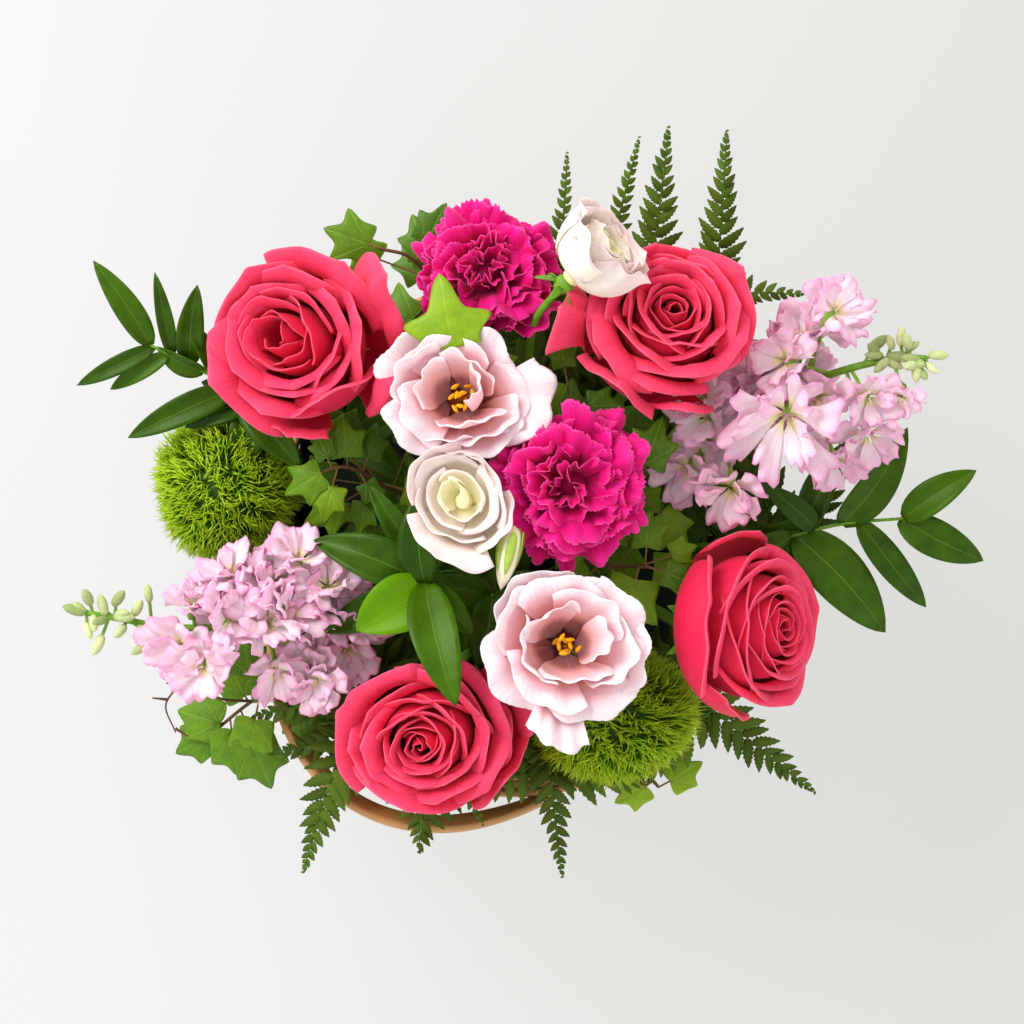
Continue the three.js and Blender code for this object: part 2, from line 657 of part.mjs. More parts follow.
// ---------------------------------------------------------------- where everything stands
// A bloom stands on its base along its axis. guards: outermost petals that hang further, [azimuth, reach].
const FLOWERS = [
  {
    name: 'rose_upper_left', kind: 'rose', base: [-97, 91, 191], axis: [-0.3, 0.1, 0.95],
    guards: [[23, 52]],
  },
  {
    name: 'rose_upper_right', kind: 'rose', base: [70, 98, 199], axis: [0.06, 0.14, 0.98],
    guards: [[172, 56], [-107, 44]],
  },
  {
    name: 'rose_bottom', kind: 'rose', base: [-40, -90, 169], axis: [-0.08, -0.07, 0.99],
    guards: [[25, 49], [-31, 50]],
  },
  { name: 'rose_right', kind: 'rose', base: [90, -38, 186], axis: [0.79, 0, 0.62], guards: [[180, 50]] },
  { name: 'carnation_top', kind: 'carnation', base: [-10, 117, 199], axis: [-0.05, 0.3, 0.95] },
  { name: 'carnation_middle', kind: 'carnation', base: [26, 26, 212], axis: [0, 0, 1] },
  { name: 'lisianthus_upper', kind: 'blush', base: [-25, 67, 224], axis: [0, 0.05, 1] },
  {
    name: 'lisianthus_lower', kind: 'blush', base: [23, -49, 219], axis: [0, -0.1, 1],
    guards: [[-99, 52]],
  },
  {
    name: 'lisianthus_cream_top', kind: 'cream', base: [24.5, 114, 250], axis: [0.49, 0.47, 0.73],
    bend: [8, 94, 215], entry: [8, 42],
  },
  {
    name: 'lisianthus_cream_middle', kind: 'cream', base: [-24, 21, 216], axis: [-0.05, -0.05, 1],
    guards: [[-104, 32]],
    bud: {
      path: [[-21, 18, 185], [-14, 8, 205], [-9, 4, 230], [0, 5, 238]], axis: [-6, -28, -6], length: 29,
    },
  },
];

const KINDS = {
  rose: { head: roseHead, radius: 2.8, cup: 7, sepals: 17, colour: COLOUR.rose },
  carnation: { head: carnationHead, radius: 2, cup: 12, sepals: 7, colour: COLOUR.carnation },
  blush: { head: blushHead, radius: 1.8, cup: 8, sepals: 12, colour: COLOUR.blush },
  cream: { head: creamHead, radius: 1.8, cup: 8, sepals: 10, colour: COLOUR.cream },
};

const BALLS = [
  { name: 'green_ball_left', centre: [-137, 27, 160], entry: [-64, 12], seed: 11 },
  { name: 'green_ball_lower', centre: [52, -84, 160], entry: [24, -46], seed: 23 },
];

const STOCKS = [
  {
    name: 'stock_left',
    entry: [-50, -22], path: [[-86, -38, 165], [-115, -40, 188], [-158, -41, 194], [-200, -34, 198]],
    florets: [
      [0.65, 108, 25, 12, 13], [0.6, 30, 8, 22, 16], [0.74, -108, 19, -4, 13], [0.62, -75, 22, 2, 13],
      [0.77, 90, 10, 11, 10], [0.52, -75, 27, 12, 13], [0.55, 85, 30, 20, 14], [0.5, 66, 19, 28, 13],
    ],
    buds: [[0.86, 95, 13], [0.87, -100, 11], [0.94, 80, 8], [0.95, -110, 12], [1, 165, 3]],
  },
  {
    name: 'stock_right',
    entry: [60, 26], path: [[100, 50, 160], [140, 74, 196], [175, 84, 212], [190, 84, 218]],
    florets: [
      [0.67, -110, 10, 34, 24], [0.7, 69, 36, 36, 14], [0.69, 85, 23, 18, 14], [0.83, -62, 15, 10, 13],
      [0.93, -80, 18, 4, 9], [0.82, -72, 31, 2, 14], [0.46, 125, 20, 44, 13], [0.48, -92, 26, 34, 16],
      [0.74, -76, 37, 4, 13],
    ],
    buds: [[0.86, 60, 10], [0.95, 100, 8], [0.97, -60, 8], [1, 20, 4]],
  },
];

const RUSCUS = [
  {
    name: 'ruscus_left',
    entry: [-60, 32], path: [[-95, 52, 152], [-128, 70, 183], [-170, 91, 195]],
    leaves: [
      [1, 116, 46, 13, 10], [0.94, 96, 39, 8, 10], [0.89, 89, 37, 13, 12], [0.81, 112, 29, 12, 10, 30],
      [0.85, 150, 24, 12, 6, -40], [0.99, -152, 41, 9, -5], [0.95, -150, 32, 9, -8],
      [0.76, -157, 56, 14, -6], [0.74, 73, 61, 12, -2],
    ],
  },
  {
    name: 'ruscus_right',
    entry: [68, 0], path: [[95, -3, 145], [118, -2, 165], [153, 7, 180], [183, 10, 190]],
    leaves: [
      [0.83, 53, 54, 19, 20, 20], [1, 35, 40, 16, 8, -15], [0.99, -32, 45, 18, -2],
      [0.88, -54, 53, 14, -10], [0.7, -40, 64, 26, -6], [0.76, 133, 34, 12, 12],
    ],
  },
  {
    name: 'ruscus_middle',
    entry: [-24, -13], path: [[-36, -17, 170], [-41, -20, 216]],
    leaves: [
      [0.96, 156, 56, 22, 0, 10], [1, 98, 45, 19, 8, -20], [0.99, -138, 38, 27, 4], [1, -81, 58, 22, 20],
      [0.95, -50, 32, 14, -8], [0.86, -150, 56, 19, 4], [0.88, 118, 52, 14, 12],
    ],
  },
  {
    name: 'ruscus_inner',
    entry: [-6, -28], path: [[-10, -26, 190]],
    leaves: [[0.99, -95, 34, 19, -6], [0.94, -30, 26, 12, 2], [0.9, 170, 34, 15, 4]],
  },
];

const FERNS = [
  {
    name: 'fern_top_1', entry: [14, 68], width: 17,
    path: [[18, 100, 152], [22, 132, 186], [25, 180, 201]],
  },
  {
    name: 'fern_top_2', entry: [26, 70], width: 15,
    path: [[40, 112, 158], [49, 150, 188], [58, 188, 205]],
  },
  {
    name: 'fern_top_3', entry: [34, 66], width: 28,
    path: [[54, 106, 156], [65, 133, 184], [72, 191, 205]],
  },
  {
    name: 'fern_top_4', entry: [46, 60], width: 28,
    path: [[76, 96, 156], [94, 121, 184], [99, 189, 208]],
  },
  {
    name: 'fern_top_5', entry: [52, 52], width: 20,
    path: [[84, 88, 152], [104, 114, 176], [138, 118, 182]],
  },
  {
    name: 'fern_lower_left', entry: [-40, -62], width: 32,
    path: [[-66, -88, 150], [-84, -108, 172], [-100, -158, 162]],
  },
  {
    name: 'fern_left_1', entry: [-52, -46], width: 17,
    path: [[-68, -64, 146], [-88, -76, 160], [-124, -85, 154]],
  },
  {
    name: 'fern_left_2', entry: [-46, -54], width: 15,
    path: [[-62, -76, 144], [-82, -95, 162], [-114, -102, 159]],
  },
  {
    name: 'fern_bottom_1', entry: [-24, -74], width: 26, pairs: 6,
    path: [[-36, -98, 144], [-45, -116, 160], [-58, -144, 168]],
  },
  {
    name: 'fern_bottom_2', entry: [-14, -78], width: 14, pairs: 5,
    path: [[-22, -98, 142], [-26, -114, 157], [-16, -132, 164]],
  },
  {
    name: 'fern_bottom_3', entry: [12, -76], width: 18,
    path: [[15, -98, 138], [18, -118, 150], [23, -163, 140]],
  },
  {
    name: 'fern_lower_right', entry: [52, -52], width: 28,
    path: [[78, -70, 128], [100, -86, 136], [144, -124, 132]],
  },
  {
    name: 'fern_right', entry: [72, 12], width: 26,
    path: [[108, 8, 136], [142, 6, 154], [159, 48, 172]],
  },
];

const IVY = [
  {
    name: 'ivy_top_left',
    entry: [-20, 72], path: [[-32, 106, 152], [-46, 131, 182], [-64, 137, 191]],
    leaves: [[1, 160, 30, 10, 0.1], [0.86, 62, 26, 15, 0.2]],
  },
  {
    name: 'ivy_over_carnation',
    entry: [-15, 52], path: [[-28, 82, 170], [-34, 100, 231]],
    leaves: [[0.99, 40, 36, 8, 0.1]],
  },
  {
    name: 'ivy_left',
    entry: [-40, 14], path: [[-62, 26, 165], [-78, 34, 188], [-90, 32, 193]],
    leaves: [
      [0.98, -150, 26, 8, -0.1], [0.96, 115, 17, 9, 0], [0.9, 95, 26, 10, 0.1], [0.82, 75, 22, 12, 0],
      [0.94, -105, 22, 14, -0.2], [0.84, -60, 18, 10, -0.2],
    ],
  },
  {
    name: 'ivy_right_of_middle',
    entry: [38, 13], path: [[52, 27, 165], [61, 33, 203]],
    leaves: [[0.99, 70, 30, 8, 0.1]],
  },
  {
    name: 'ivy_above_middle',
    entry: [21, 30], path: [[26, 52, 170], [27, 64, 202]],
    leaves: [[0.99, 165, 26, 10, 0], [0.97, 0, 22, 12, 0], [0.97, 100, 18, 22, 0]],
  },
  {
    name: 'ivy_lower_right_of_middle',
    entry: [29, -11], path: [[46, -13, 165], [62, -12, 196]],
    leaves: [
      [0.95, -105, 38, 14, 0], [0.99, -20, 20, 14, -0.1], [0.99, 85, 22, 13, 0.1], [0.97, 20, 18, 18, 0],
    ],
  },
  {
    name: 'ivy_lower_left',
    entry: [-66, -36], path: [[-98, -60, 144], [-126, -78, 152], [-146, -94, 134]],
    leaves: [
      [1, -140, 24, 8, -0.3], [0.95, 160, 24, 12, -0.2], [0.9, -95, 26, 14, -0.3],
      [0.97, -60, 20, 16, -0.3],
    ],
  },
  {
    name: 'ivy_lower_right',
    entry: [38, -66], path: [[50, -86, 115], [62, -110, 121], [71, -122, 122]],
    leaves: [[0.96, -150, 24, 9, -0.1], [1, 30, 24, 11, 0]],
  },
];

// ---------------------------------------------------------------- assembly
const group = new THREE.Group();
const placed = []; // { solid, clearance }: where two pieces would meet, the earlier one keeps its shape

function overlapsBox(a, b) {
  const [p, q] = [a.boundingBox(), b.boundingBox()];
  return [0, 1, 2].every((axis) => p.min[axis] < q.max[axis] + GAP && q.min[axis] < p.max[axis] + GAP);
}

// The solid kept clear of every piece placed before it.
function clearOfOthers(solid) {
  const meets = (other) => overlapsBox(solid, other.solid) && solid.minGap(other.solid, 1) < GAP * 0.8;
  const near = placed.filter(meets);
  if (near.length === 0) return solid;
  const cleared = near.reduce((rest, other) => rest.subtract(other.clearance()), solid);
  return onePiece(cleared.simplify(TOLERANCE / 8));
}

function add(name, solid, colour, roughness) {
  const kept = clearOfOthers(solid);
  let around = null;
  const clearance = () => {
    around = around ?? grown(kept, GAP).add(grown(kept, GAP * 0.6));
    return around;
  };
  placed.push({ solid: kept, clearance });
  const material = new THREE.MeshStandardMaterial({ color: colour, roughness, metalness: 0 });
  const mesh = new THREE.Mesh(geometryOf(kept), material);
  mesh.name = name;
  group.add(mesh);
}

add('basket', basket(), COLOUR.splint, 0.6);
add('rim_outer', hoop(OUTER_HOOP_IN, RIM_RADIUS), COLOUR.hoop, 0.55);
add('rim_inner', hoop(INNER_HOOP_IN, INNER_HOOP_OUT), COLOUR.hoop, 0.55);
add('handle_front', handle(HANDLE.azimuth), COLOUR.hoop, 0.55);
add('handle_back', handle(HANDLE.azimuth + 180), COLOUR.hoop, 0.55);
add('liner', liner(), COLOUR.liner, 0.5);

const flowers = FLOWERS.map((flower) => ({
  ...flower, base: vec(...flower.base), axis: vec(...flower.axis).normalize(),
}));
flowers.forEach((flower) => {
  add(`${flower.name}_stem`, flowerStem(flower, KINDS[flower.kind]), COLOUR.stem, 0.6);
});
flowers.forEach((flower) => {
  const { head, colour } = KINDS[flower.kind];
  add(`${flower.name}_petals`, standing(head(flower), flower.base, flower.axis), colour, 0.7);
  if (flower.kind === 'blush') {
    add(`${flower.name}_stamens`, standing(stamens(), flower.base, flower.axis), COLOUR.stamen, 0.6);
  }
});

BALLS.forEach(({ name, centre, entry, seed }) => {
  add(name, greenBall(vec(...centre), entry, seed), COLOUR.moss, 0.9);
});
STOCKS.forEach((spike) => add(spike.name, stockSpike(spike), COLOUR.stock, 0.7));
RUSCUS.forEach((spray) => add(spray.name, leafyStem(spray), COLOUR.ruscus, 0.35));
IVY.forEach((runner) => add(runner.name, ivyRunner(runner), COLOUR.ivy, 0.45));
FERNS.forEach((fern) => add(fern.name, frond(fern), COLOUR.fern, 0.6));
add('foam', foam(), COLOUR.foam, 0.95);

export default group;
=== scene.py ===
"""A round splint basket of cut flowers, dressed for looks: roses, carnations, lisianthus, stock, green
balls, ruscus, ivy and fern. Lengths are in millimetres until a mesh is made. +Z is up and the basket
stands on z = 0."""
import math

import bmesh
import bpy
import numpy as np
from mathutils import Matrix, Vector


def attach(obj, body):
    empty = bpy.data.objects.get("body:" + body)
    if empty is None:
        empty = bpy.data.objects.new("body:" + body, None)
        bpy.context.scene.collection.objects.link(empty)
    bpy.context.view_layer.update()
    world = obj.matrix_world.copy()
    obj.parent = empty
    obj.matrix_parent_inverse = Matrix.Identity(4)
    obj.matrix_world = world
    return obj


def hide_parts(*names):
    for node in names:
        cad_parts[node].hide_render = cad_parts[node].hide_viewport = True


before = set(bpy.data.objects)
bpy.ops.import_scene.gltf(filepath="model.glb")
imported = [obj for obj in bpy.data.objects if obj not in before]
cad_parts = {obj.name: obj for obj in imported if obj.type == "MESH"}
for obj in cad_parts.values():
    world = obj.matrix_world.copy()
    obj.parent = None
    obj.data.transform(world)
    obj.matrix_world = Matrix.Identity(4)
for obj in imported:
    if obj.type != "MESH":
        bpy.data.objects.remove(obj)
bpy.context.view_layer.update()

MM = 0.001  # metres in a millimetre
DM = 100  # millimetres in a decimetre
TURN = 2 * math.pi
GOLDEN = math.radians(137.508)  # turn from one petal to the next
LEAF_TURN = 137.5  # degrees from one low leaf, stamen or bud to the next
UP = np.array([0.0, 0.0, 1.0])

# ---------------------------------------------------------------- driving dimensions, as in the solids
BASKET_HEIGHT = 115
RIM_RADIUS = 127.5
BASE_RADIUS = 100
OUTER_HOOP = 3.5
INNER_HOOP = 3
HOOP_HEIGHT = 13
PLAY = 0.35  # gap between two pieces of the basket that lie against each other
WALL_OUT = 123.65
WALL_IN = 119.65
FOAM_TOP = 110
STEM_END = 80
FAN = 0.45  # how far out a stem enters the foam, as a share of how far out its bloom is
SIDES = 28  # sides of the solid outer hoop, against which the handles stand
HANDLE = dict(
    width=10, thickness=4.5, edge=1.3, apex=155, foot=94, reach=18, lean=32, azimuth=-121, span=38.57)
# Radius of each kind of stem at its foot and at its tip, and thickness of each kind of sheet.
GIRTH = dict(
    ruscus=(1.5, 0.7), fern=(1.3, 0.35), side_frond=(0.7, 0.3), ivy=(1.3, 0.8), tendril=(0.8, 0.35),
    stock=(2.7, 1.4), pistil=(1.8, 0.9))
SHEET = dict(ruscus=0.45, fern=0.3, ivy=0.35, stock=0.3, sepal=0.5)


# ---------------------------------------------------------------- arrays
def unit(v):
    """The vectors along the last axis, scaled to length one."""
    return v / np.linalg.norm(v, axis=-1, keepdims=True)


def heading(azimuth):
    """Horizontal directions at azimuths in radians, anticlockwise from +X."""
    azimuth = np.asarray(azimuth, float)
    return np.stack([np.cos(azimuth), np.sin(azimuth), np.zeros_like(azimuth)], axis=-1)


def curve(points, count):
    """Catmull-Rom curve through points: between two of them, the cubic whose slope at each is half the step
    from the point before it to the point after it."""
    p = np.asarray(points, float)
    p = np.vstack([2 * p[0] - p[1], p, 2 * p[-1] - p[-2]])
    t = np.linspace(0, len(p) - 3, count)
    i = np.minimum(t.astype(int), len(p) - 4)
    f = (t - i)[:, None]
    a, b, c, d = p[i], p[i + 1], p[i + 2], p[i + 3]
    return 0.5 * (2 * b + (c - a) * f + (2 * a - 5 * b + 4 * c - d) * f**2 + (3 * b - a - 3 * c + d) * f**3)


def distances(points):
    """How far along a line of points each one lies."""
    return np.concatenate([[0], np.cumsum(np.linalg.norm(np.diff(points, axis=0), axis=1))])


def frames_along(path):
    """Side and lift at each point of a path that stays near one upright plane."""
    tangent = unit(np.gradient(path, axis=0))
    across = np.cross(UP, path[-1] - path[0])
    if np.linalg.norm(across) < 1e-3:
        across = np.array([0.0, 1.0, 0.0])
    side = unit(across - tangent * (tangent @ across)[:, None])
    return side, np.cross(tangent, side)


def stand(points, base, axis):
    """Points of a shape made along +Z, turned the shortest way onto an axis and moved to its base."""
    turn = Vector((0, 0, 1)).rotation_difference(Vector(axis)).to_matrix()
    return points @ np.array(turn).T + np.asarray(base, float)


def rounded_bar(width, height, radius):
    """Closed outline of a bar with rounded corners: four quarter circles joined by straight sides."""
    quarter = np.linspace(0, math.pi / 2, 3)
    centres = np.array([[1, 1], [-1, 1], [-1, -1], [1, -1]]) * [width / 2 - radius, height / 2 - radius]
    turns = quarter[None, :] + np.arange(4)[:, None] * math.pi / 2
    ring = centres[:, None, :] + radius * np.stack([np.cos(turns), np.sin(turns)], axis=-1)
    ring = ring.reshape(-1, 2)
    return np.vstack([ring, ring[:1]])


# ---------------------------------------------------------------- meshes
class Grids:
    """Grids of points, collected into one mesh with a UV map and one tone for each point."""

    def __init__(self):
        self.points, self.faces, self.uv, self.tone = [], [], [], []
        self.count = 0

    def add(self, grid, tone=0.0, uv=None):
        """Adds a grid, or an array of grids, shaped (..., rows, columns, 3), joined by quads."""
        rows, columns = grid.shape[-3:-1]
        grid = grid.reshape(-1, rows, columns, 3)
        number = len(grid)
        corner = np.arange(rows - 1)[:, None] * columns + np.arange(columns - 1)[None, :]
        quads = corner[..., None] + [0, 1, columns + 1, columns]
        start = self.count + np.arange(number) * rows * columns
        self.faces.append((start[:, None, None] + quads.reshape(-1, 4)).reshape(-1, 4))
        self.points.append(grid.reshape(-1, 3))
        if uv is None:
            across, along = np.meshgrid(np.linspace(0, 1, columns), np.linspace(0, 1, rows))
            uv = np.stack([across, along], axis=-1)
        self.uv.append(np.broadcast_to(uv, (number, rows, columns, 2)).reshape(-1, 2))
        tone = np.asarray(tone, float)
        tone = tone.reshape(tone.shape + (1,) * (3 - tone.ndim)) if tone.ndim else tone
        self.tone.append(np.broadcast_to(tone, (number, rows, columns)).reshape(-1))
        self.count += number * rows * columns

    def mesh(self, name, weld):
        """The mesh in metres. weld closes seams and poles and turns the faces outwards."""
        points = np.concatenate(self.points) * MM
        faces = np.concatenate(self.faces)
        mesh = bpy.data.meshes.new(name)
        mesh.vertices.add(len(points))
        mesh.vertices.foreach_set("co", points.astype(np.float32).ravel())
        mesh.loops.add(faces.size)
        mesh.loops.foreach_set("vertex_index", faces.astype(np.int32).ravel())
        mesh.polygons.add(len(faces))
        mesh.polygons.foreach_set("loop_start", np.arange(0, faces.size, 4, dtype=np.int32))
        mesh.update(calc_edges=True)
        layer = mesh.uv_layers.new(name="UVMap")
        layer.data.foreach_set("uv", np.concatenate(self.uv)[faces.ravel()].astype(np.float32).ravel())
        tone = mesh.attributes.new("tone", "FLOAT", "POINT")
        tone.data.foreach_set("value", np.concatenate(self.tone).astype(np.float32))
        if weld:
            work = bmesh.new()
            work.from_mesh(mesh)
            bmesh.ops.remove_doubles(work, verts=work.verts, dist=1e-6)
            bmesh.ops.recalc_face_normals(work, faces=work.faces)
            work.to_mesh(mesh)
            work.free()
        mesh.polygons.foreach_set("use_smooth", np.ones(len(mesh.polygons), dtype=bool))
        return mesh


def piece(name, nodes, grids, material, sheet=None, crease=None):
    """One piece of the object in place of solids. sheet is the thickness of thin sheets; shapes without it
    are closed by welding. crease is the angle in degrees past which an edge stays sharp."""
    mesh = grids.mesh(name, weld=sheet is None)
    mesh.materials.append(material)
    if crease:
        mesh.set_sharp_from_angle(angle=math.radians(crease))
    obj = bpy.data.objects.new(name, mesh)
    bpy.context.scene.collection.objects.link(obj)
    if sheet:
        shell = obj.modifiers.new("thickness", "SOLIDIFY")
        shell.thickness = sheet * MM
        shell.offset = 0
    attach(obj, "root")
    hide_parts(*nodes)


# ---------------------------------------------------------------- forms shared by many pieces
def tube(path, radius, flats=10):
    """A closed tube: a ring of points round each point of the path, with the first and last ring drawn
    together. radius is one value, a pair for foot and tip, or a list with one for each point."""
    side, lift = frames_along(path)
    radius = np.linspace(*radius, len(path)) if isinstance(radius, tuple) else radius
    radius = np.broadcast_to(np.asarray(radius, float), (len(path),))
    turn = np.linspace(0, TURN, flats + 1)
    ring = side[:, None] * np.cos(turn)[None, :, None] + lift[:, None] * np.sin(turn)[None, :, None]
    grid = path[:, None] + ring * radius[:, None, None]
    ends = [np.broadcast_to(path[k], (1, flats + 1, 3)) for k in (0, -1)]
    return np.concatenate([ends[0], grid, ends[1]])


def turned(profile, count, flats=24, ripple=None):
    """A profile of (radius, height) smoothed to count points and turned round +Z. ripple(turn, share)
    scales the radius."""
    p = curve(np.pad(np.asarray(profile, float), ((0, 0), (0, 1))), count)
    turn = np.linspace(0, TURN, flats + 1)
    radius = np.maximum(p[:, :1], 0)
    scale = 1 if ripple is None else ripple(turn[None, :], np.linspace(0, 1, count)[:, None])
    grid = heading(turn)[None] * (radius * scale)[..., None]
    grid[..., 2] = p[:, 1:2]
    return grid


def blades(base, along, side, lift, length, width, outline, columns=5, bow=0.07, fold=0.15, droop=0.0):
    """Blades from base points. A rib runs out along each blade and bows up by a sine, the two halves stand
    on it folded up like a shallow V, and outline is the half width at each station as a share of the
    whole."""
    s = np.linspace(0, 1, outline.shape[-1])[None, :, None, None]
    u = np.linspace(-1, 1, columns)[None, None, :, None]
    shape = np.broadcast_to(outline, (len(base), outline.shape[-1]))[:, :, None, None]
    half = shape * np.asarray(width, float)[:, None, None, None] / 2
    length = np.asarray(length, float)[:, None, None, None]
    base, along, side, lift = (np.asarray(v, float)[:, None, None, :] for v in (base, along, side, lift))
    up = bow * length * np.sin(math.pi * s) + fold * half * np.abs(u) ** 1.4
    return base + along * length * s + side * half * u + lift * up - UP * droop * length * s**2


def lance(rows, widest=0.4, blunt=0.52):
    """Shares of the half width of a lance-shaped blade: a rise from a narrow foot and a fall to a point."""
    v = np.linspace(0, 1, rows)
    shape = (v + 0.02) ** blunt * (1.0 - v) ** (blunt * (1 - widest) / widest)
    return np.maximum(shape / shape.max(), 0.02)


# ---------------------------------------------------------------- petals
# Control points of the youngest, middle and oldest petal, each four (radius, height) up to the fold. Then
# the margin rolls outwards: roll is its length and turn the angle it rolls through, in degrees. spread is
# half the angle a petal is swept through. far is the reach of the oldest petal and laid the age of the
# guards: past one they lie lower than the oldest petal.
ROSE = dict(
    young=[[2, 10], [5, 22], [5, 36], [2.5, 43]], middle=[[4, 6], [23, 12], [22, 32], [17, 41]],
    old=[[4, 3], [30, 0], [37, 18], [33, 29]], spread=(125, 66, 50), count=31, rows=(9, 9), columns=41,
    roll=(3, 9, 17), turn=(25, 110, 130), shoulder=0.14, rounded=0.42, point=0.3, lobes=0.03, fringe=0,
    wave=(1.1, 0.5), ruffles=(1.3, 3.1), twist=1.4, skew=1.3, jitter=1.0, claw=0.35, spacing=0.88, loose=0.3,
    far=43, laid=1.2)
# A rose further open: wide inner petals whose tips stand apart.
OPEN_ROSE = dict(
    ROSE, young=[[3, 8], [7, 20], [8, 31], [6, 38]], middle=[[4, 6], [21, 12], [22, 30], [20, 38]],
    spread=(84, 62, 50), count=26, loose=0.45, wave=(1.8, 0.7))
# A rose seen from its side: fewer and broader petals that lie close.
CLOSE_ROSE = dict(
    ROSE, spread=(125, 80, 74), count=24, loose=0.14, twist=2.4, skew=0.4, jitter=0.5, roll=(2, 5, 11),
    wave=(0.8, 0.4))
CARNATION = dict(
    young=[[2, 10], [3, 18], [3, 25], [3, 28]], middle=[[4, 8], [10, 16], [16, 22], [18, 25]],
    old=[[4, 5], [15, 5], [25, 8], [29, 12]], spread=(56, 40, 30), count=50, rows=(7, 7), columns=37,
    roll=(5, 7, 9), turn=(20, 50, 60), shoulder=0.2, rounded=0.3, point=0, lobes=0.08, fringe=0.24,
    wave=(4.8, 2.4), ruffles=(1.7, 3.6), twist=0.0, skew=10, jitter=3.5, claw=0.22, spacing=0.62, loose=0.6,
    far=36, laid=1)
BLUSH = dict(
    young=[[4, 4], [10, 8], [14, 15], [13, 20]], middle=[[4, 2], [14, 5], [22, 11], [25, 16]],
    old=[[4, 1], [18, 0], [29, 6], [32, 10]], spread=(56, 49, 42), count=15, rows=(8, 10), columns=41,
    roll=(8, 10, 12), turn=(30, 50, 55), shoulder=0.12, rounded=0.42, point=0.08, lobes=0.12, fringe=0.05,
    wave=(3.0, 1.7), ruffles=(1.2, 3.3), twist=2.5, skew=5.0, jitter=2.8, claw=0.3, spacing=0.8, loose=0.55,
    far=43, laid=1)
CREAM = dict(
    young=[[1, 8], [5, 14], [7, 20], [5, 24]], middle=[[3, 5], [12, 7], [16, 14], [17, 20]],
    old=[[3, 3], [18, 2], [25, 10], [26, 16]], spread=(95, 84, 66), count=9, rows=(8, 8), columns=31,
    roll=(2, 4, 12), turn=(20, 50, 75), shoulder=0.1, rounded=0.45, point=0.14, lobes=0.07, fringe=0,
    wave=(2.0, 1.0), ruffles=(1.1, 3.3), twist=2.2, skew=3.4, jitter=2.0, claw=0.35, spacing=0.85, loose=0.6,
    far=31, laid=1)
# A cream bloom still half closed: its outer petals stand up.
CREAM_CUP = dict(
    CREAM, middle=[[3, 5], [14, 6], [17, 16], [14, 25]], old=[[3, 3], [18, 2], [23, 13], [23, 22]],
    roll=(2, 5, 9), turn=(20, 30, 65), spread=(115, 96, 76), count=12, columns=41, point=0.04, lobes=0.14,
    fringe=0.05, wave=(2.6, 2.1), ruffles=(1.3, 4.1), loose=0.5)
STOCK = dict(
    young=[[1, 2], [3, 5], [5, 8], [6, 10]], middle=[[1, 1], [4, 3], [9, 6], [10, 9]],
    old=[[1, 0], [6, 0], [11, 2], [12, 3]], spread=(36, 33, 31), count=10, rows=(5, 5), columns=13,
    roll=(4, 6, 9), turn=(40, 60, 55), shoulder=0.18, rounded=0.45, point=-0.2, lobes=0.1, fringe=0,
    wave=(2.2, 1.2), ruffles=(1.4, 2.9), twist=0.5, skew=3.4, jitter=1.6, claw=0.14, spacing=0.7, loose=0.55,
    far=17, laid=1)
# The one floret of the right stock that faces straight up: longer and narrower petals, like a star.
STAR = dict(
    STOCK, spread=(16, 21, 23), count=14, roll=(4, 6, 10), turn=(35, 50, 40), point=-0.35, wave=(1.3, 0.7))


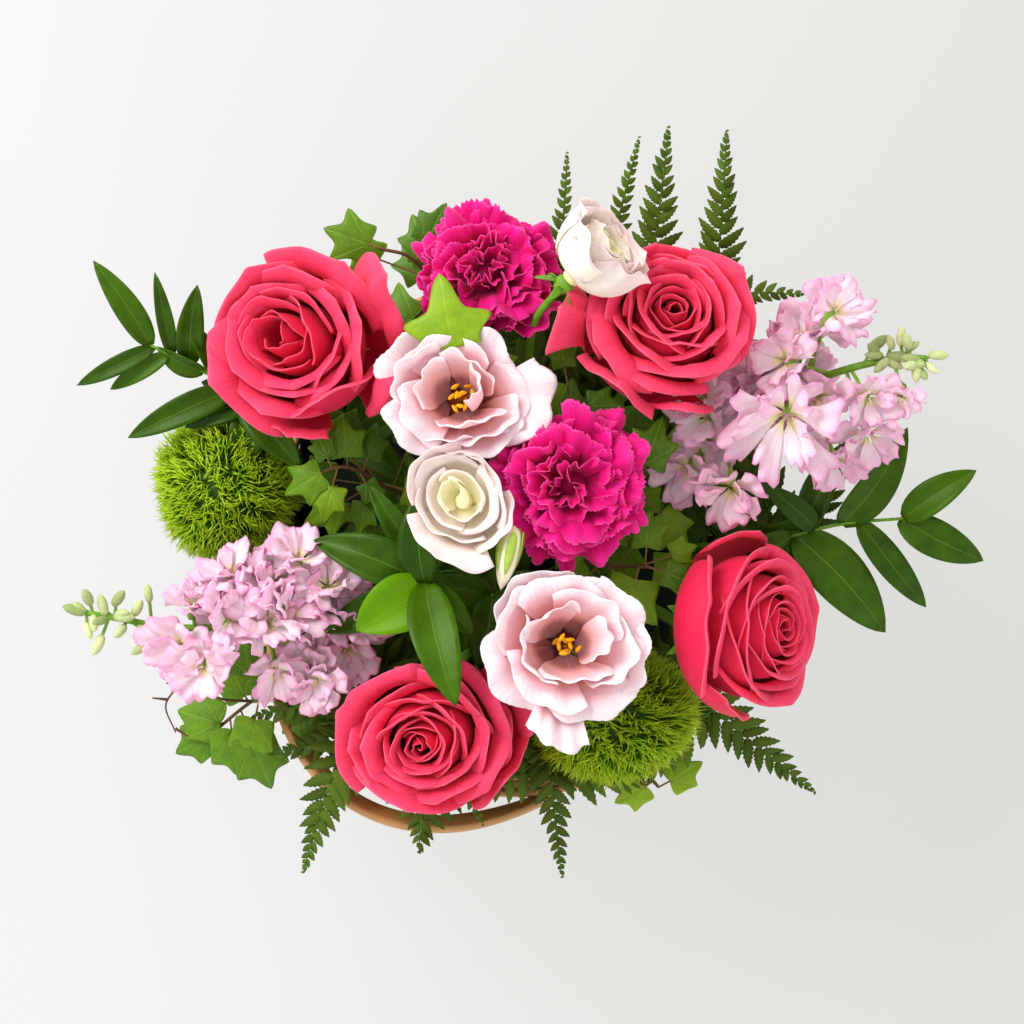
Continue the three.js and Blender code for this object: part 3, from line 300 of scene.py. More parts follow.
def petals(kind, ages, azimuths, random, reach=0.0, narrow=1.0, turns=None):
    """Petals as patches of nested turned surfaces whose margins roll outwards.

    Each profile is a Bezier curve of radius and height whose control points slide from the young to the
    middle to the old set with the petal's age. At its end the curve goes on as an arc: along its length the
    direction turns evenly from upright to outwards and down. It is swept through an angle that opens from
    claw to margin. The margin is rounded towards its ends, pointed or notched in the middle, lobed by a
    sine, cut into teeth by the fringe, and waved by two sines. reach makes it longer by so many millimetres,
    narrow is a share of its width, and turns are the angles rolled, where they aren't those of its age."""
    ages = np.asarray(ages, float)
    number = len(ages)
    reach = np.broadcast_to(np.asarray(reach, float), (number,))[:, None, None]
    narrow = np.broadcast_to(np.asarray(narrow, float), (number,))[:, None, None]
    stage = np.array([kind["young"], kind["middle"], kind["old"]], float)
    low = np.minimum((ages * 2).astype(int), 1)
    share = (ages * 2 - low)[:, None, None]
    control = stage[low] * (1 - share) + stage[low + 1] * share
    half, roll, turn = (
        np.interp(ages, (0, 0.5, 1), kind[key])[:, None, None] for key in ("spread", "roll", "turn"))
    if turns is not None:
        turn = np.asarray(turns, float)[:, None, None]
    ages = ages[:, None, None]
    loose = kind["loose"]
    lean = random.uniform(-1, 1, (8, number, 1, 1))
    phase = random.uniform(0, TURN, (3, number, 1, 1))

    body, rolled = kind["rows"]
    along = np.concatenate([np.linspace(0, 1, body), np.ones(rolled)])[None, :, None]
    beyond = np.concatenate([np.zeros(body), np.linspace(0, 1, rolled + 1)[1:]])[None, :, None]
    across = np.linspace(-1, 1, kind["columns"])[None, None, :]
    v = along * (1 - kind["shoulder"] * np.abs(across) ** 2.5) * (1 + 0.04 * lean[3])
    w = 1 - v
    weights = np.stack([w**3, 3 * w * w * v, 3 * w * v * v, v**3], axis=-1)
    profile = np.einsum("nrck,nka->nrca", weights, control)
    slopes = np.stack([w * w, 2 * w * v, v * v], axis=-1)
    tangent = np.einsum("nrck,nka->nrca", slopes, np.diff(control, axis=1))
    start = np.arctan2(tangent[..., 0], tangent[..., 1]) + loose * 0.6 * lean[0] * along

    tooth = random.uniform(0.2, 1, (number, 1, kind["columns"])) * (np.arange(kind["columns"]) % 2)
    size = np.abs(across)
    tip = 1 - kind["rounded"] * size**2.6 + kind["point"] * np.exp(-np.abs(across + 0.3 * lean[4]) / 0.16)
    tip = tip + kind["lobes"] * np.sin(math.pi * 2.6 * across + phase[2]) - kind["fringe"] * tooth**2
    length = roll * (1 + 0.6 * loose * lean[1]) * (tip + 0.3 * loose * lean[6] * across) + reach
    bend = np.radians(turn * (1 + loose * lean[2])) * (0.8 + 0.4 * size**2 + 0.5 * loose * lean[7] * across)
    angle = start + bend * beyond
    profile = profile + (length / bend)[..., None] * np.stack(
        [np.cos(start) - np.cos(angle), np.sin(angle) - np.sin(start)], axis=-1)

    grown = (along + beyond) / 2
    wave = sum(
        amount * np.sin(math.pi * rate * across + shift)
        for amount, rate, shift in zip(kind["wave"], kind["ruffles"], phase))
    lift = wave * grown**2 * (0.5 + 0.5 * ages) + kind["jitter"] * lean[5] * grown
    profile = profile + np.stack([np.cos(angle), -np.sin(angle)], axis=-1) * lift[..., None]
    slant = (kind["twist"] + kind["skew"] * lean[1]) * across * grown**1.5
    radius = np.maximum(profile[..., 0] + slant, 0.4)
    opened = kind["claw"] + (1 - kind["claw"]) * np.sin(np.minimum(1, v / 0.6) * math.pi / 2)
    swing = np.asarray(azimuths, float)[:, None, None] + across * np.radians(half) * opened * narrow
    grid = heading(swing + 0.15 * loose * lean[3]) * radius[..., None]
    grid[..., 2] = profile[..., 1]
    return grid


PUSHED_OUT = 1.05  # radius of the guards, as a share of what their age gives


def bloom(kind, seed, guards=(), size=1.0, lean=(0, 0), oval=(0, 0)):
    """All petals of a bloom, with the oldest outside, each turned from the last by about the golden angle,
    and its guards, which are outermost petals [azimuth, reach, angle rolled, share of the width], pushed out
    a little past the others. The heart leans sideways with the square of its height, and the whole is
    pressed by the share oval[0] along azimuth oval[1]. Returns grids and each petal's age."""
    random = np.random.default_rng(seed)
    count, loose = kind["count"], kind["loose"]
    ages = (np.arange(count) / (count - 1)) ** kind["spacing"] + loose * random.uniform(-0.1, 0.1, count)
    ages = ages.clip(0, 1)
    azimuths = np.arange(count) * GOLDEN + loose * random.uniform(-0.5, 0.5, count)
    grid = petals(kind, ages, azimuths, random)
    if guards:
        azimuths, far, turns, narrow = np.array(guards, float).T
        oldest = np.full(len(guards), kind["laid"])
        outer = petals(kind, oldest, np.radians(azimuths), random, far - kind["far"], narrow, turns)
        outer[..., :2] *= PUSHED_OUT
        grid, ages = np.concatenate([grid, outer]), np.concatenate([ages, np.ones(len(guards))])
    rise = (grid[..., 2:] / kind["young"][3][1]).clip(0, 1.2) ** 2 * (1 - 0.8 * ages)[:, None, None, None]
    grid[..., :2] += np.array(lean) * rise
    press = heading(math.radians(oval[1]))
    grid = grid - oval[0] * (grid @ press)[..., None] * press
    return grid * size, ages


# ---------------------------------------------------------------- materials
def linear(code):
    """A hex sRGB colour as linear red, green, blue and full alpha."""
    value = [int(code[i:i + 2], 16) / 255 for i in (0, 2, 4)]
    return [v / 12.92 if v <= 0.04045 else ((v + 0.055) / 1.055) ** 2.4 for v in value] + [1.0]


def node(tree, kind, inputs=None, stops=(), **settings):
    """Adds a shader node with its settings. inputs maps sockets to values, or to the nodes or output sockets
    linked to them, where a node stands for its first output. stops are (place, hex colour) on a ramp."""
    made = tree.nodes.new("ShaderNode" + kind)
    for name, value in settings.items():
        setattr(made, name, value)
    for name, value in (inputs or {}).items():
        value = value.outputs[0] if isinstance(value, bpy.types.Node) else value
        if isinstance(value, bpy.types.NodeSocket):
            tree.links.new(value, made.inputs[name])
        else:
            made.inputs[name].default_value = value
    for k, (place, code) in enumerate(stops):
        elements = made.color_ramp.elements
        inner = 0 < k < len(stops) - 1
        stop = elements.new(place) if inner else elements[min(k, len(elements) - 1)]
        stop.position, stop.color = place, linear(code)
    return made


def empty(name):
    """A new material and its empty node tree."""
    material = bpy.data.materials.new(name)
    material.use_nodes = True
    material.node_tree.nodes.clear()
    return material, material.node_tree


def shaded(material, **sockets):
    """The material with its one shader, whose sockets take values or links."""
    tree = material.node_tree
    surface = node(tree, "BsdfPrincipled", {k.replace("_", " "): v for k, v in sockets.items()})
    node(tree, "OutputMaterial", {"Surface": surface})
    return material


def sources(tree):
    """What patterns start from: object coordinates in metres, the UV map, its U and V, and the tone."""
    place = node(tree, "TexCoord")
    split = node(tree, "SeparateXYZ", {0: place.outputs["UV"]})
    tone = node(tree, "Attribute", attribute_name="tone")
    return *(place.outputs[k] for k in ("Object", "UV")), *split.outputs[:2], tone.outputs["Fac"]


def mottled(tree, tone, noise, share):
    """The tone, moved up or down by a share of how far the noise is from a half, between 0 and 1."""
    raised = node(tree, "Math", {0: noise, 1: share, 2: tone}, operation="MULTIPLY_ADD")
    return node(tree, "Math", {0: raised, 1: share / 2}, operation="SUBTRACT", use_clamp=True)


def petal_material(name, stops, heart, veins, vein_colour, roughness, sheen, glow):
    """Petal skin: colour runs from claw to margin along V, young petals turn to the heart's colour, fine
    veins run out along the petal, rows of tiny cells give a matt velvet face, and light glows through: glow
    is how much of it, how far each colour goes as a share, and that distance in millimetres."""
    material, tree = empty(name)
    place, _, u, v, tone = sources(tree)
    body = node(tree, "ValToRGB", {"Fac": v}, stops)
    young = node(tree, "MapRange", {0: tone, 1: 0.0, 2: 0.55, 3: heart[1], 4: 0.0})
    body = node(tree, "Mix", {0: young, 6: body, 7: linear(heart[0])}, data_type="RGBA").outputs[2]
    # Veins 0.8 mm apart: about fifty across a petal, drawn out lengthways, shifted by the petal's tone.
    scaled = [
        node(tree, "Math", {0: part, 1: times}, operation="MULTIPLY")
        for part, times in ((u, 46.0), (v, 2.2), (tone, 97.0))]
    across = node(tree, "CombineXYZ", dict(enumerate(scaled)))
    vein = node(tree, "TexNoise", {"Vector": across, "Scale": 1.0, "Detail": 2.0})
    lines = node(tree, "MapRange", {0: vein, 1: 0.48, 2: 0.72, 3: 0.0, 4: veins})
    body = node(tree, "Mix", {0: lines, 6: body, 7: linear(vein_colour)}, data_type="RGBA").outputs[2]
    # Soft patches 12 mm across, and cells drawn 0.5 mm wide, coarser than real ones so that they show.
    patch = node(tree, "TexNoise", {"Vector": place, "Scale": 80.0, "Detail": 3.0})
    shade = node(tree, "MapRange", {0: patch, 1: 0.3, 2: 0.7, 3: 0.9, 4: 1.07})
    body = node(tree, "HueSaturation", {"Color": body, "Value": shade})
    cells = node(tree, "TexNoise", {"Vector": place, "Scale": 1900.0, "Detail": 1.0})
    raised = node(tree, "Math", {0: vein, 1: cells}, operation="ADD")
    bump = node(tree, "Bump", {"Height": raised, "Strength": 0.2, "Distance": 0.4 * MM})
    return shaded(
        material, Base_Color=body, Normal=bump, Roughness=roughness, Sheen_Weight=sheen, Sheen_Roughness=0.5,
        IOR=1.4, Specular_IOR_Level=0.15, Subsurface_Weight=glow[0], Subsurface_Radius=glow[1],
        Subsurface_Scale=glow[2] * MM)


def leaf_material(name, dark, bright, vein_colour, roughness, coat, ribs, netting):
    """Leaf skin: each leaf has its own tone between dark and bright, a pale midrib, fine ribs beside it, and
    a waxy gloss over a cellular surface."""
    material, tree = empty(name)
    place, _, u, _, tone = sources(tree)
    patch = node(tree, "TexNoise", {"Vector": place, "Scale": 110.0, "Detail": 4.0})
    shade = mottled(tree, tone, patch, 0.5)
    body = node(tree, "Mix", {0: shade, 6: linear(dark), 7: linear(bright)}, data_type="RGBA").outputs[2]
    # The midrib lies along the middle of U. Ribs beside it are about 1.2 mm apart on a leaf 18 mm wide.
    offset = node(tree, "Math", {0: u, 1: 0.5}, operation="SUBTRACT")
    away = node(tree, "Math", {0: offset}, operation="ABSOLUTE")
    midrib = node(tree, "MapRange", {0: away, 1: 0.008, 2: 0.03, 3: 0.25, 4: 0.0})
    wave = node(tree, "Math", {0: away, 1: ribs}, operation="MULTIPLY")
    rib = node(tree, "Math", {0: wave}, operation="SINE")
    fine = node(tree, "MapRange", {0: rib, 1: 0.6, 2: 1.0, 3: 0.0, 4: 0.07})
    line = node(tree, "Math", {0: midrib, 1: fine}, operation="MAXIMUM")
    body = node(tree, "Mix", {0: line, 6: body, 7: linear(vein_colour)}, data_type="RGBA").outputs[2]
    cells = node(tree, "TexVoronoi", {"Vector": place, "Scale": netting}, feature="DISTANCE_TO_EDGE")
    height = node(tree, "Math", {0: line, 1: -1.2, 2: cells}, operation="MULTIPLY_ADD")
    bump = node(tree, "Bump", {"Height": height, "Strength": 0.3, "Distance": 0.5 * MM})
    gloss = node(tree, "MapRange", {0: patch, 1: 0.3, 2: 0.7, 3: roughness - 0.06, 4: roughness + 0.1})
    return shaded(
        material, Base_Color=body, Normal=bump, Roughness=gloss, Coat_Weight=coat, Coat_Roughness=0.3,
        IOR=1.45, Specular_IOR_Level=0.22, Specular_Tint=linear("D5F0A0"))


def ivy_material(name, stops, vein_colour):
    """Ivy leaf, waxy and leathery: pale veins run out from the stalk to each lobe, drawn from the leaf's own
    tone, whose whole part is the leaf's brightness in tenths and whose rest is nearness to a vein."""
    material, tree = empty(name)
    place, _, _, _, tone = sources(tree)
    near = node(tree, "Math", {0: tone}, operation="FRACT")
    whole = node(tree, "Math", {0: tone}, operation="FLOOR")
    bright = node(tree, "Math", {0: whole, 1: 0.1}, operation="MULTIPLY")
    patch = node(tree, "TexNoise", {"Vector": place, "Scale": 160.0, "Detail": 5.0})
    body = node(tree, "ValToRGB", {"Fac": mottled(tree, bright, patch, 0.5)}, stops)
    # Veinlets: a net with meshes 1.6 mm wide.
    net = node(tree, "TexVoronoi", {"Vector": place, "Scale": 620.0}, feature="DISTANCE_TO_EDGE")
    thin = node(tree, "MapRange", {0: net, 1: 0.0, 2: 0.07, 3: 0.14, 4: 0.0})
    main = node(tree, "MapRange", {0: near, 1: 0.7, 2: 0.98, 3: 0.0, 4: 0.38})
    line = node(tree, "Math", {0: thin, 1: main}, operation="MAXIMUM")
    body = node(tree, "Mix", {0: line, 6: body, 7: linear(vein_colour)}, data_type="RGBA").outputs[2]
    height = node(tree, "Math", {0: line, 1: -1.0}, operation="MULTIPLY")
    bump = node(tree, "Bump", {"Height": height, "Strength": 0.5, "Distance": 0.6 * MM})
    gloss = node(tree, "MapRange", {0: patch, 1: 0.3, 2: 0.7, 3: 0.32, 4: 0.5})
    return shaded(
        material, Base_Color=body, Normal=bump, Roughness=gloss, Coat_Weight=0.1, Coat_Roughness=0.25,
        IOR=1.45, Specular_IOR_Level=0.4, Specular_Tint=linear("E5F5C0"))


def plain_skin(name, stops, spacing, roughness, relief=0.3, sheen=0.0, coat=0.0):
    """Skin whose colour wanders between stops with the piece's tone and a noise of a spacing in
    millimetres."""
    material, tree = empty(name)
    place, _, _, _, tone = sources(tree)
    grain = node(tree, "TexNoise", {"Vector": place, "Scale": 1 / (spacing * MM), "Detail": 4.0})
    body = node(tree, "ValToRGB", {"Fac": mottled(tree, tone, grain, 0.6)}, stops)
    bump = node(tree, "Bump", {"Height": grain, "Strength": relief, "Distance": spacing * MM * 0.3})
    return shaded(
        material, Base_Color=body, Normal=bump, Roughness=roughness, Sheen_Weight=sheen, Coat_Weight=coat,
        Coat_Roughness=0.3, Specular_IOR_Level=0.25)


def splint_material(name, outside, inside, dark):
    """Split wood, planed and varnished: grain lines 1.1 mm apart run along the splint, pores lie between
    them, and the inner face, whose tone is one, is painted darker and redder: painted shade on the side
    turned away from the light. U runs across and V along, in decimetres."""
    material, tree = empty(name)
    place, flat, _, _, tone = sources(tree)
    stretch = node(tree, "Mapping", {"Vector": flat, "Scale": (90.0, 5.0, 1.0)})
    grain = node(
        tree, "TexNoise",
        {"Vector": stretch, "Scale": 1.0, "Detail": 5.0, "Roughness": 0.65, "Distortion": 0.4})
    wide = node(tree, "TexNoise", {"Vector": place, "Scale": 22.0, "Detail": 2.0})
    body = node(tree, "Mix", {0: tone, 6: linear(outside), 7: linear(inside)}, data_type="RGBA").outputs[2]
    lines = node(tree, "MapRange", {0: grain, 1: 0.42, 2: 0.68, 3: 0.0, 4: 0.55})
    body = node(tree, "Mix", {0: lines, 6: body, 7: linear(dark)}, data_type="RGBA").outputs[2]
    shade = node(tree, "MapRange", {0: wide, 1: 0.3, 2: 0.7, 3: 0.85, 4: 1.12})
    body = node(tree, "HueSaturation", {"Color": body, "Value": shade})
    bump = node(tree, "Bump", {"Height": grain, "Strength": 0.35, "Distance": 0.4 * MM})
    gloss = node(tree, "MapRange", {0: grain, 1: 0.3, 2: 0.7, 3: 0.42, 4: 0.62})
    return shaded(
        material, Base_Color=body, Normal=bump, Roughness=gloss, Coat_Weight=0.12, Coat_Roughness=0.35)


# Rose petals: velvet, coral pink; paler where the margin rolls over, a painted highlight, and deep red
# towards the heart, painted shade between the petals.
ROSE_PETAL = petal_material(
    "rose_petal", [(0, "B8082A"), (0.3, "DC1842"), (0.6, "EC3058"), (0.97, "F5476C"), (1, "F6607E")],
    ("E0103A", 0.5), 0.25, "D01540", 0.5, 0.06, (0.35, (1.0, 0.18, 0.24), 2))
# Carnation petals: thin and matt, magenta, with a torn-looking margin whose paleness is a painted highlight
# on the thin edge; the deep claws are painted shade inside the bloom.
CARNATION_PETAL = petal_material(
    "carnation_petal", [(0, "8C0040"), (0.45, "CC0062"), (0.8, "E60A7C"), (0.96, "EE2488"), (1, "F450A0")],
    ("C4005C", 0.3), 0.35, "AC004C", 0.5, 0.08, (0.3, (1.0, 0.2, 0.55), 2))
# Lisianthus petals: thin and silky, blush pink, with a dark eye deep in the throat.
BLUSH_PETAL = petal_material(
    "blush_lisianthus_petal",
    [(0, "3C0C06"), (0.15, "8A361E"), (0.23, "F2A49C"), (0.36, "FFCCD2"), (0.7, "FFE0E5"), (1, "FFEEF1")],
    ("FFDADF", 0.25), 0.25, "F8A2B4", 0.45, 0.04, (0.35, (1.0, 0.6, 0.62), 1.5))
# Cream lisianthus petals: silky, green-cream in the rolled middle, flushed at the margin.
CREAM_PETAL = petal_material(
    "cream_lisianthus_petal", [(0, "E6E69A"), (0.25, "FBEEDA"), (0.7, "F8E8E0"), (1, "F9D8D6")],
    ("FFFAC4", 0.9), 0.16, "F8D0CC", 0.45, 0.03, (0.35, (1.0, 0.9, 0.7), 1.5))
# Stock petals: thin and soft, lilac pink, with a green-yellow eye.
STOCK_PETAL = petal_material(
    "stock_petal",
    [(0, "A8BC30"), (0.12, "EDE8A8"), (0.24, "FFECF4"), (0.6, "FCE0EA"), (0.88, "F7C4DA"), (1, "F2A2C8")],
    ("F296C4", 0.3), 0.4, "F0A4CC", 0.5, 0.04, (0.35, (1.0, 0.62, 0.76), 1.5))
# Ruscus leaves: stiff and waxy, deep green, with a lighter rib and fine parallel lines.
RUSCUS_LEAF = leaf_material("ruscus_leaf", "223F02", "5C8C00", "7C9C30", 0.3, 0.1, 95.0, 900.0)
# Fern leaflets: thin and leathery, dull green.
FERN_LEAF = leaf_material("leather_fern_leaflet", "34480C", "5E7826", "7A9044", 0.45, 0.03, 40.0, 1200.0)
# Ivy leaves: waxy and leathery, mid green, with pale veins.
IVY_LEAF = ivy_material(
    "ivy_leaf", [(0, "3A6200"), (0.35, "5E8800"), (0.7, "8AAA18"), (1, "B2C83A")], "A8CC60")
# Green stems and sepals: smooth, with a faint bloom of wax.
STEM_SKIN = plain_skin(
    "flower_stem_skin", [(0, "3A6A10"), (0.5, "6F9F28"), (1, "B4CC58")], 2.5, 0.45, coat=0.03)
# Stock buds: downy, pale grey-green.
STOCK_BUD = plain_skin("stock_bud", [(0, "8C9E5C"), (0.5, "AEBC7C"), (1, "D8DEA8")], 2.0, 0.6, 0.4, 0.1)
# Ivy and twig bark: brown, dry and ridged.
TWIG_BARK = plain_skin("ivy_twig_bark", [(0, "4A3320"), (0.5, "7B5A36"), (1, "9A8A4A")], 1.5, 0.75, 0.6)
# Green-ball bracts: hair-fine and matt, yellow-green at the tips; dark between them, painted shade.
MOSS_HAIR = plain_skin(
    "green_ball_bract", [(0, "2E5000"), (0.35, "709800"), (0.7, "9CC00E"), (1, "C8DE34")], 6.0, 0.6, 0.1)
# Anthers: dusty with pollen, deep yellow.
ANTHER_DUST = plain_skin(
    "lisianthus_anther", [(0, "8A4A08"), (0.45, "E09A08"), (1, "F4BE18")], 0.8, 0.8, 0.8)
# Basket splints and hoops: split wood, tan outside, and darker and redder inside, which is painted shade.
WOVEN_SPLINT = splint_material("woven_wood_splint", "B98243", "8F5526", "7A4A1E")
BENT_HOOP = splint_material("bent_wood_hoop", "CC9A5C", "BC8448", "96683A")
# Liner: thin dark plastic film, crinkled and softly glossy.
LINER_FILM = plain_skin("dark_plastic_liner", [(0, "14160F"), (1, "2A2C22")], 9.0, 0.32, 0.9)
# Floral foam: dark green, wet, crumbly and pitted.
WET_FOAM = plain_skin("wet_floral_foam", [(0, "141E10"), (0.5, "22331B"), (1, "32492A")], 1.2, 0.8, 1.0)


# ---------------------------------------------------------------- the basket
SLOPE_TOP = 100  # height at which the sloping wall turns upright
GRAIN_SHIFT = 0.37  # decimetres that the grain is moved along for each millimetre of a splint's first x
ROUND = np.linspace(0, TURN, 241)
# Bars, each with its width, its thickness and the radius of its rounded edges.
STAKE = dict(width=14.2, thickness=1.0, edge=0.4, count=40, foot=1.2, top=112, lean=0.45)
WEAVER = dict(width=9.4, thickness=1.0, edge=0.45, rows=9, lift=1.35, lowest=8, step=10.6)
SPOKE = dict(width=11, thickness=0.9, edge=0.3, count=20, inside=12, outside=97)
RING = dict(width=8.6, thickness=0.9, edge=0.4, count=9, step=10.2, lift=1.1)
REED = dict(width=6, thickness=4.2, edge=1.6, outwards=1.9, height=110.4)
HOOP_EDGE = 1.1
BOTTOM_MIDDLE = 1.55
LINER = dict(
    film=0.7, rise=0.4,
    profile=[[0, 4.5], [60, 4.5], [93, 4.6], [99, 30], [106, 62], [112, 95], [114.6, 111.8]])
FOAM = [[0, 6.4], [84, 6.4], [90, 12], [90, 60], [90, 104], [84, 109.6], [0, 110]]


def wall_radius(height):
    """Middle of the woven wall: a straight slope from the bottom to the hoops, upright beside them."""
    share = np.clip(np.asarray(height, float) / SLOPE_TOP, 0, 1)
    return BASE_RADIUS - 2 + share * (WALL_OUT - BASE_RADIUS)


def splint(grids, path, face, bar, closed=False, inner=1.0):
    """A splint: a rounded bar's outline, its width across and its thickness along face, carried along a
    path. Its inner side has the tone given: at one it is painted in the darker inner colour, painted shade.
    An open one is drawn together at its ends."""
    face = np.broadcast_to(face, path.shape)
    tangent = unit(np.gradient(path, axis=0))
    if closed:
        tangent[0] = tangent[-1] = unit(path[1] - path[-2])
    face = unit(face - tangent * np.sum(face * tangent, axis=-1, keepdims=True))
    across = np.cross(face, tangent)
    ring = rounded_bar(bar["width"], bar["thickness"], bar["edge"])
    grid = path[:, None] + across[:, None] * ring[None, :, :1] + face[:, None] * ring[None, :, 1:]
    along, round_it = distances(path), distances(ring)
    if not closed:
        ends = [np.broadcast_to(path[k], (1, len(ring), 3)) for k in (0, -1)]
        grid = np.concatenate([ends[0], grid, ends[1]])
        along = np.concatenate([along[:1], along, along[-1:]])
    u, v = np.meshgrid(round_it / DM, along / DM + path[0, 0] * GRAIN_SHIFT)
    # The inward face takes the tone of the painted shade.
    tone = np.broadcast_to(np.where(ring[:, 1] < -bar["thickness"] * 0.2, inner, 0.0), grid.shape[:2])
    grids.add(grid, tone[None], np.stack([u, v], axis=-1))


def circle(turn, radius, height):
    """Points at turns round +Z, at a radius and a height, and the outward directions."""
    out = heading(turn)
    path = out * np.broadcast_to(radius, turn.shape)[:, None]
    path[:, 2] = height
    return path, out


def basket():
    """Stakes stand round the wall, and each weaver is a hoop whose radius swings in and out by a cosine with
    one swing for every two stakes, opposite in neighbouring rows. The bottom is woven alike from spokes and
    rings, and a reed fills the gap between the hoops."""
    stakes, weavers, bottom = Grids(), Grids(), Grids()
    z = np.linspace(STAKE["foot"], STAKE["top"], 24)
    for k in range(STAKE["count"]):
        out = heading(TURN * k / STAKE["count"])
        lean = STAKE["lean"] * np.cos(math.pi * (z - WEAVER["lowest"]) / WEAVER["step"]) * (-1) ** k
        path = out[None] * (wall_radius(z) + lean)[:, None] + UP * z[:, None]
        splint(stakes, path, out, STAKE)
    for row in range(WEAVER["rows"]):
        swing = WEAVER["lift"] * np.cos(ROUND * STAKE["count"] / 2 + math.pi * row)
        height = WEAVER["lowest"] + row * WEAVER["step"]
        path, out = circle(ROUND, wall_radius(height) + swing, height + 0.4 * np.sin(3 * ROUND + row))
        splint(weavers, path, out, WEAVER, closed=True)
    for k in range(SPOKE["count"]):
        out = heading(TURN * (k + 0.5) / SPOKE["count"])
        path = out[None] * np.linspace(SPOKE["inside"], SPOKE["outside"], 12)[:, None] + UP * BOTTOM_MIDDLE
        splint(bottom, path, -UP, SPOKE)
    turn = np.linspace(0, TURN, 121)
    for row in range(RING["count"]):
        swing = RING["lift"] * np.cos(turn * SPOKE["count"] / 2 + math.pi * row)
        path, _ = circle(turn, SPOKE["inside"] + row * RING["step"], BOTTOM_MIDDLE + swing)
        splint(bottom, path, -UP, RING, closed=True)
    reed, out = circle(ROUND, WALL_IN + REED["outwards"], REED["height"])
    splint(weavers, reed, out, REED, closed=True, inner=0.0)
    for name, grids in (("stakes", stakes), ("weavers", weavers), ("bottom", bottom)):
        piece("basket_" + name, ["basket"], grids, WOVEN_SPLINT, crease=40)


def hoops():
    """Two bent bars clamp the top of the wall, each a rounded outline carried round a circle."""
    sizes = {"rim_outer": (RIM_RADIUS, OUTER_HOOP), "rim_inner": (WALL_IN - PLAY, INNER_HOOP)}
    for name, (outside, thickness) in sizes.items():
        grids = Grids()
        bar = dict(width=HOOP_HEIGHT, thickness=thickness, edge=HOOP_EDGE)
        path, out = circle(ROUND, outside - thickness / 2, BASKET_HEIGHT - HOOP_HEIGHT / 2)
        splint(grids, path, out, bar, closed=True)
        piece(name + "_hoop", [name], grids, BENT_HOOP, crease=50)


def handle(name, azimuth):
    """A bent splint: with s from -1 to 1 along it and arch = cos(s * 90 degrees), the angle moves by s times
    the span, the radius grows with arch^1.4, the height with arch^0.55, and the face leans out with it."""
    s = np.linspace(-1, 1, 61)
    arch = np.cos(s * math.pi / 2).clip(0)
    out = heading(np.radians(azimuth + s * HANDLE["span"]))
    tilt = np.radians(HANDLE["lean"]) * np.minimum(1, arch * 1.6)
    foot = RIM_RADIUS * math.cos(math.pi / SIDES) + PLAY + HANDLE["thickness"] / 2
    path = out * (foot + HANDLE["reach"] * arch**1.4)[:, None]
    path[:, 2] = HANDLE["foot"] + (HANDLE["apex"] - HANDLE["foot"]) * arch**0.55
    face = out * np.cos(tilt)[:, None]
    face[:, 2] = -np.sin(tilt)
    grids = Grids()
    splint(grids, path, face, HANDLE)
    piece(name + "_splint", [name], grids, BENT_HOOP, crease=50)


def filling():
    """The liner is a crinkled cup turned from a thin profile, and the foam a block turned from a rounded
    one."""
    def crinkle(turn, share):
        """Upright folds: two sines round the cup, deeper towards its rim."""
        folds = 0.004 * np.sin(41 * turn + 3 * np.sin(5 * turn)) + 0.003 * np.sin(67 * turn + 9 * share)
        return 1 + folds * np.clip(share * 2 - 0.2, 0, 1)

    cup, block = Grids(), Grids()
    outer = turned(LINER["profile"], 48, 180, crinkle)
    inner = outer - heading(np.linspace(0, TURN, 181))[None] * LINER["film"] + UP * LINER["rise"]
    inner[0] = inner[0, :1]
    cup.add(np.concatenate([outer, inner[::-1]]))
    block.add(turned(FOAM, 90, 96))
    piece("liner_film", ["liner"], cup, LINER_FILM)
    piece("foam_block", ["foam"], block, WET_FOAM)


# ---------------------------------------------------------------- stems and leaves
def rooted(entry, path):
    """The points of a stem: its cut end in the foam, the foam's top, and then its path."""
    return np.array([[*entry, STEM_END], [*entry, FOAM_TOP + 2], *path], float)


def spot(line, share):
    """The points at shares of a line's length."""
    far = distances(line)
    at = np.asarray(share, float) * far[-1]
    return np.stack([np.interp(at, far, line[:, axis]) for axis in range(3)], axis=-1)


def turn_about(v, axis, angle):
    """Vectors turned about unit axes by angles: the part across the axis swings by sine and cosine."""
    c, s = np.cos(angle)[..., None], np.sin(angle)[..., None]
    return v * c + np.cross(axis, v) * s + axis * np.sum(v * axis, axis=-1, keepdims=True) * (1 - c)


LEAF_ROWS = 15


def leaves_on(grids, line, leaves, random):
    """Lance-shaped leaves [share, azimuth, length, width, rise, roll] on a stem line. Each sways to a side
    and bends up or down with the square of the distance, by up to a sixth of its length at the tip."""
    data = np.array([list(leaf) + [0] * (6 - len(leaf)) for leaf in leaves], float)
    out = heading(np.radians(data[:, 1])) * data[:, 2:3]
    out[:, 2] = data[:, 4]
    along = unit(out)
    side = turn_about(unit(np.cross(UP, along)), along, np.radians(data[:, 5]))
    lift = np.cross(along, side)
    length = np.linalg.norm(out, axis=1)
    grid = blades(
        spot(line, data[:, 0]), along, side, lift, length, data[:, 3], lance(LEAF_ROWS)[None], columns=7,
        bow=0.09, fold=0.34)
    far = np.linspace(0, 1, LEAF_ROWS)[None, :, None, None] ** 2 * length[:, None, None, None]
    for way, least, most in ((side, -0.14, 0.14), (lift, -0.16, 0.06)):
        grid = grid + far * way[:, None, None] * random.uniform(least, most, (len(data), 1, 1, 1))
    grids.add(grid, random.uniform(0.0, 0.28, len(data)))


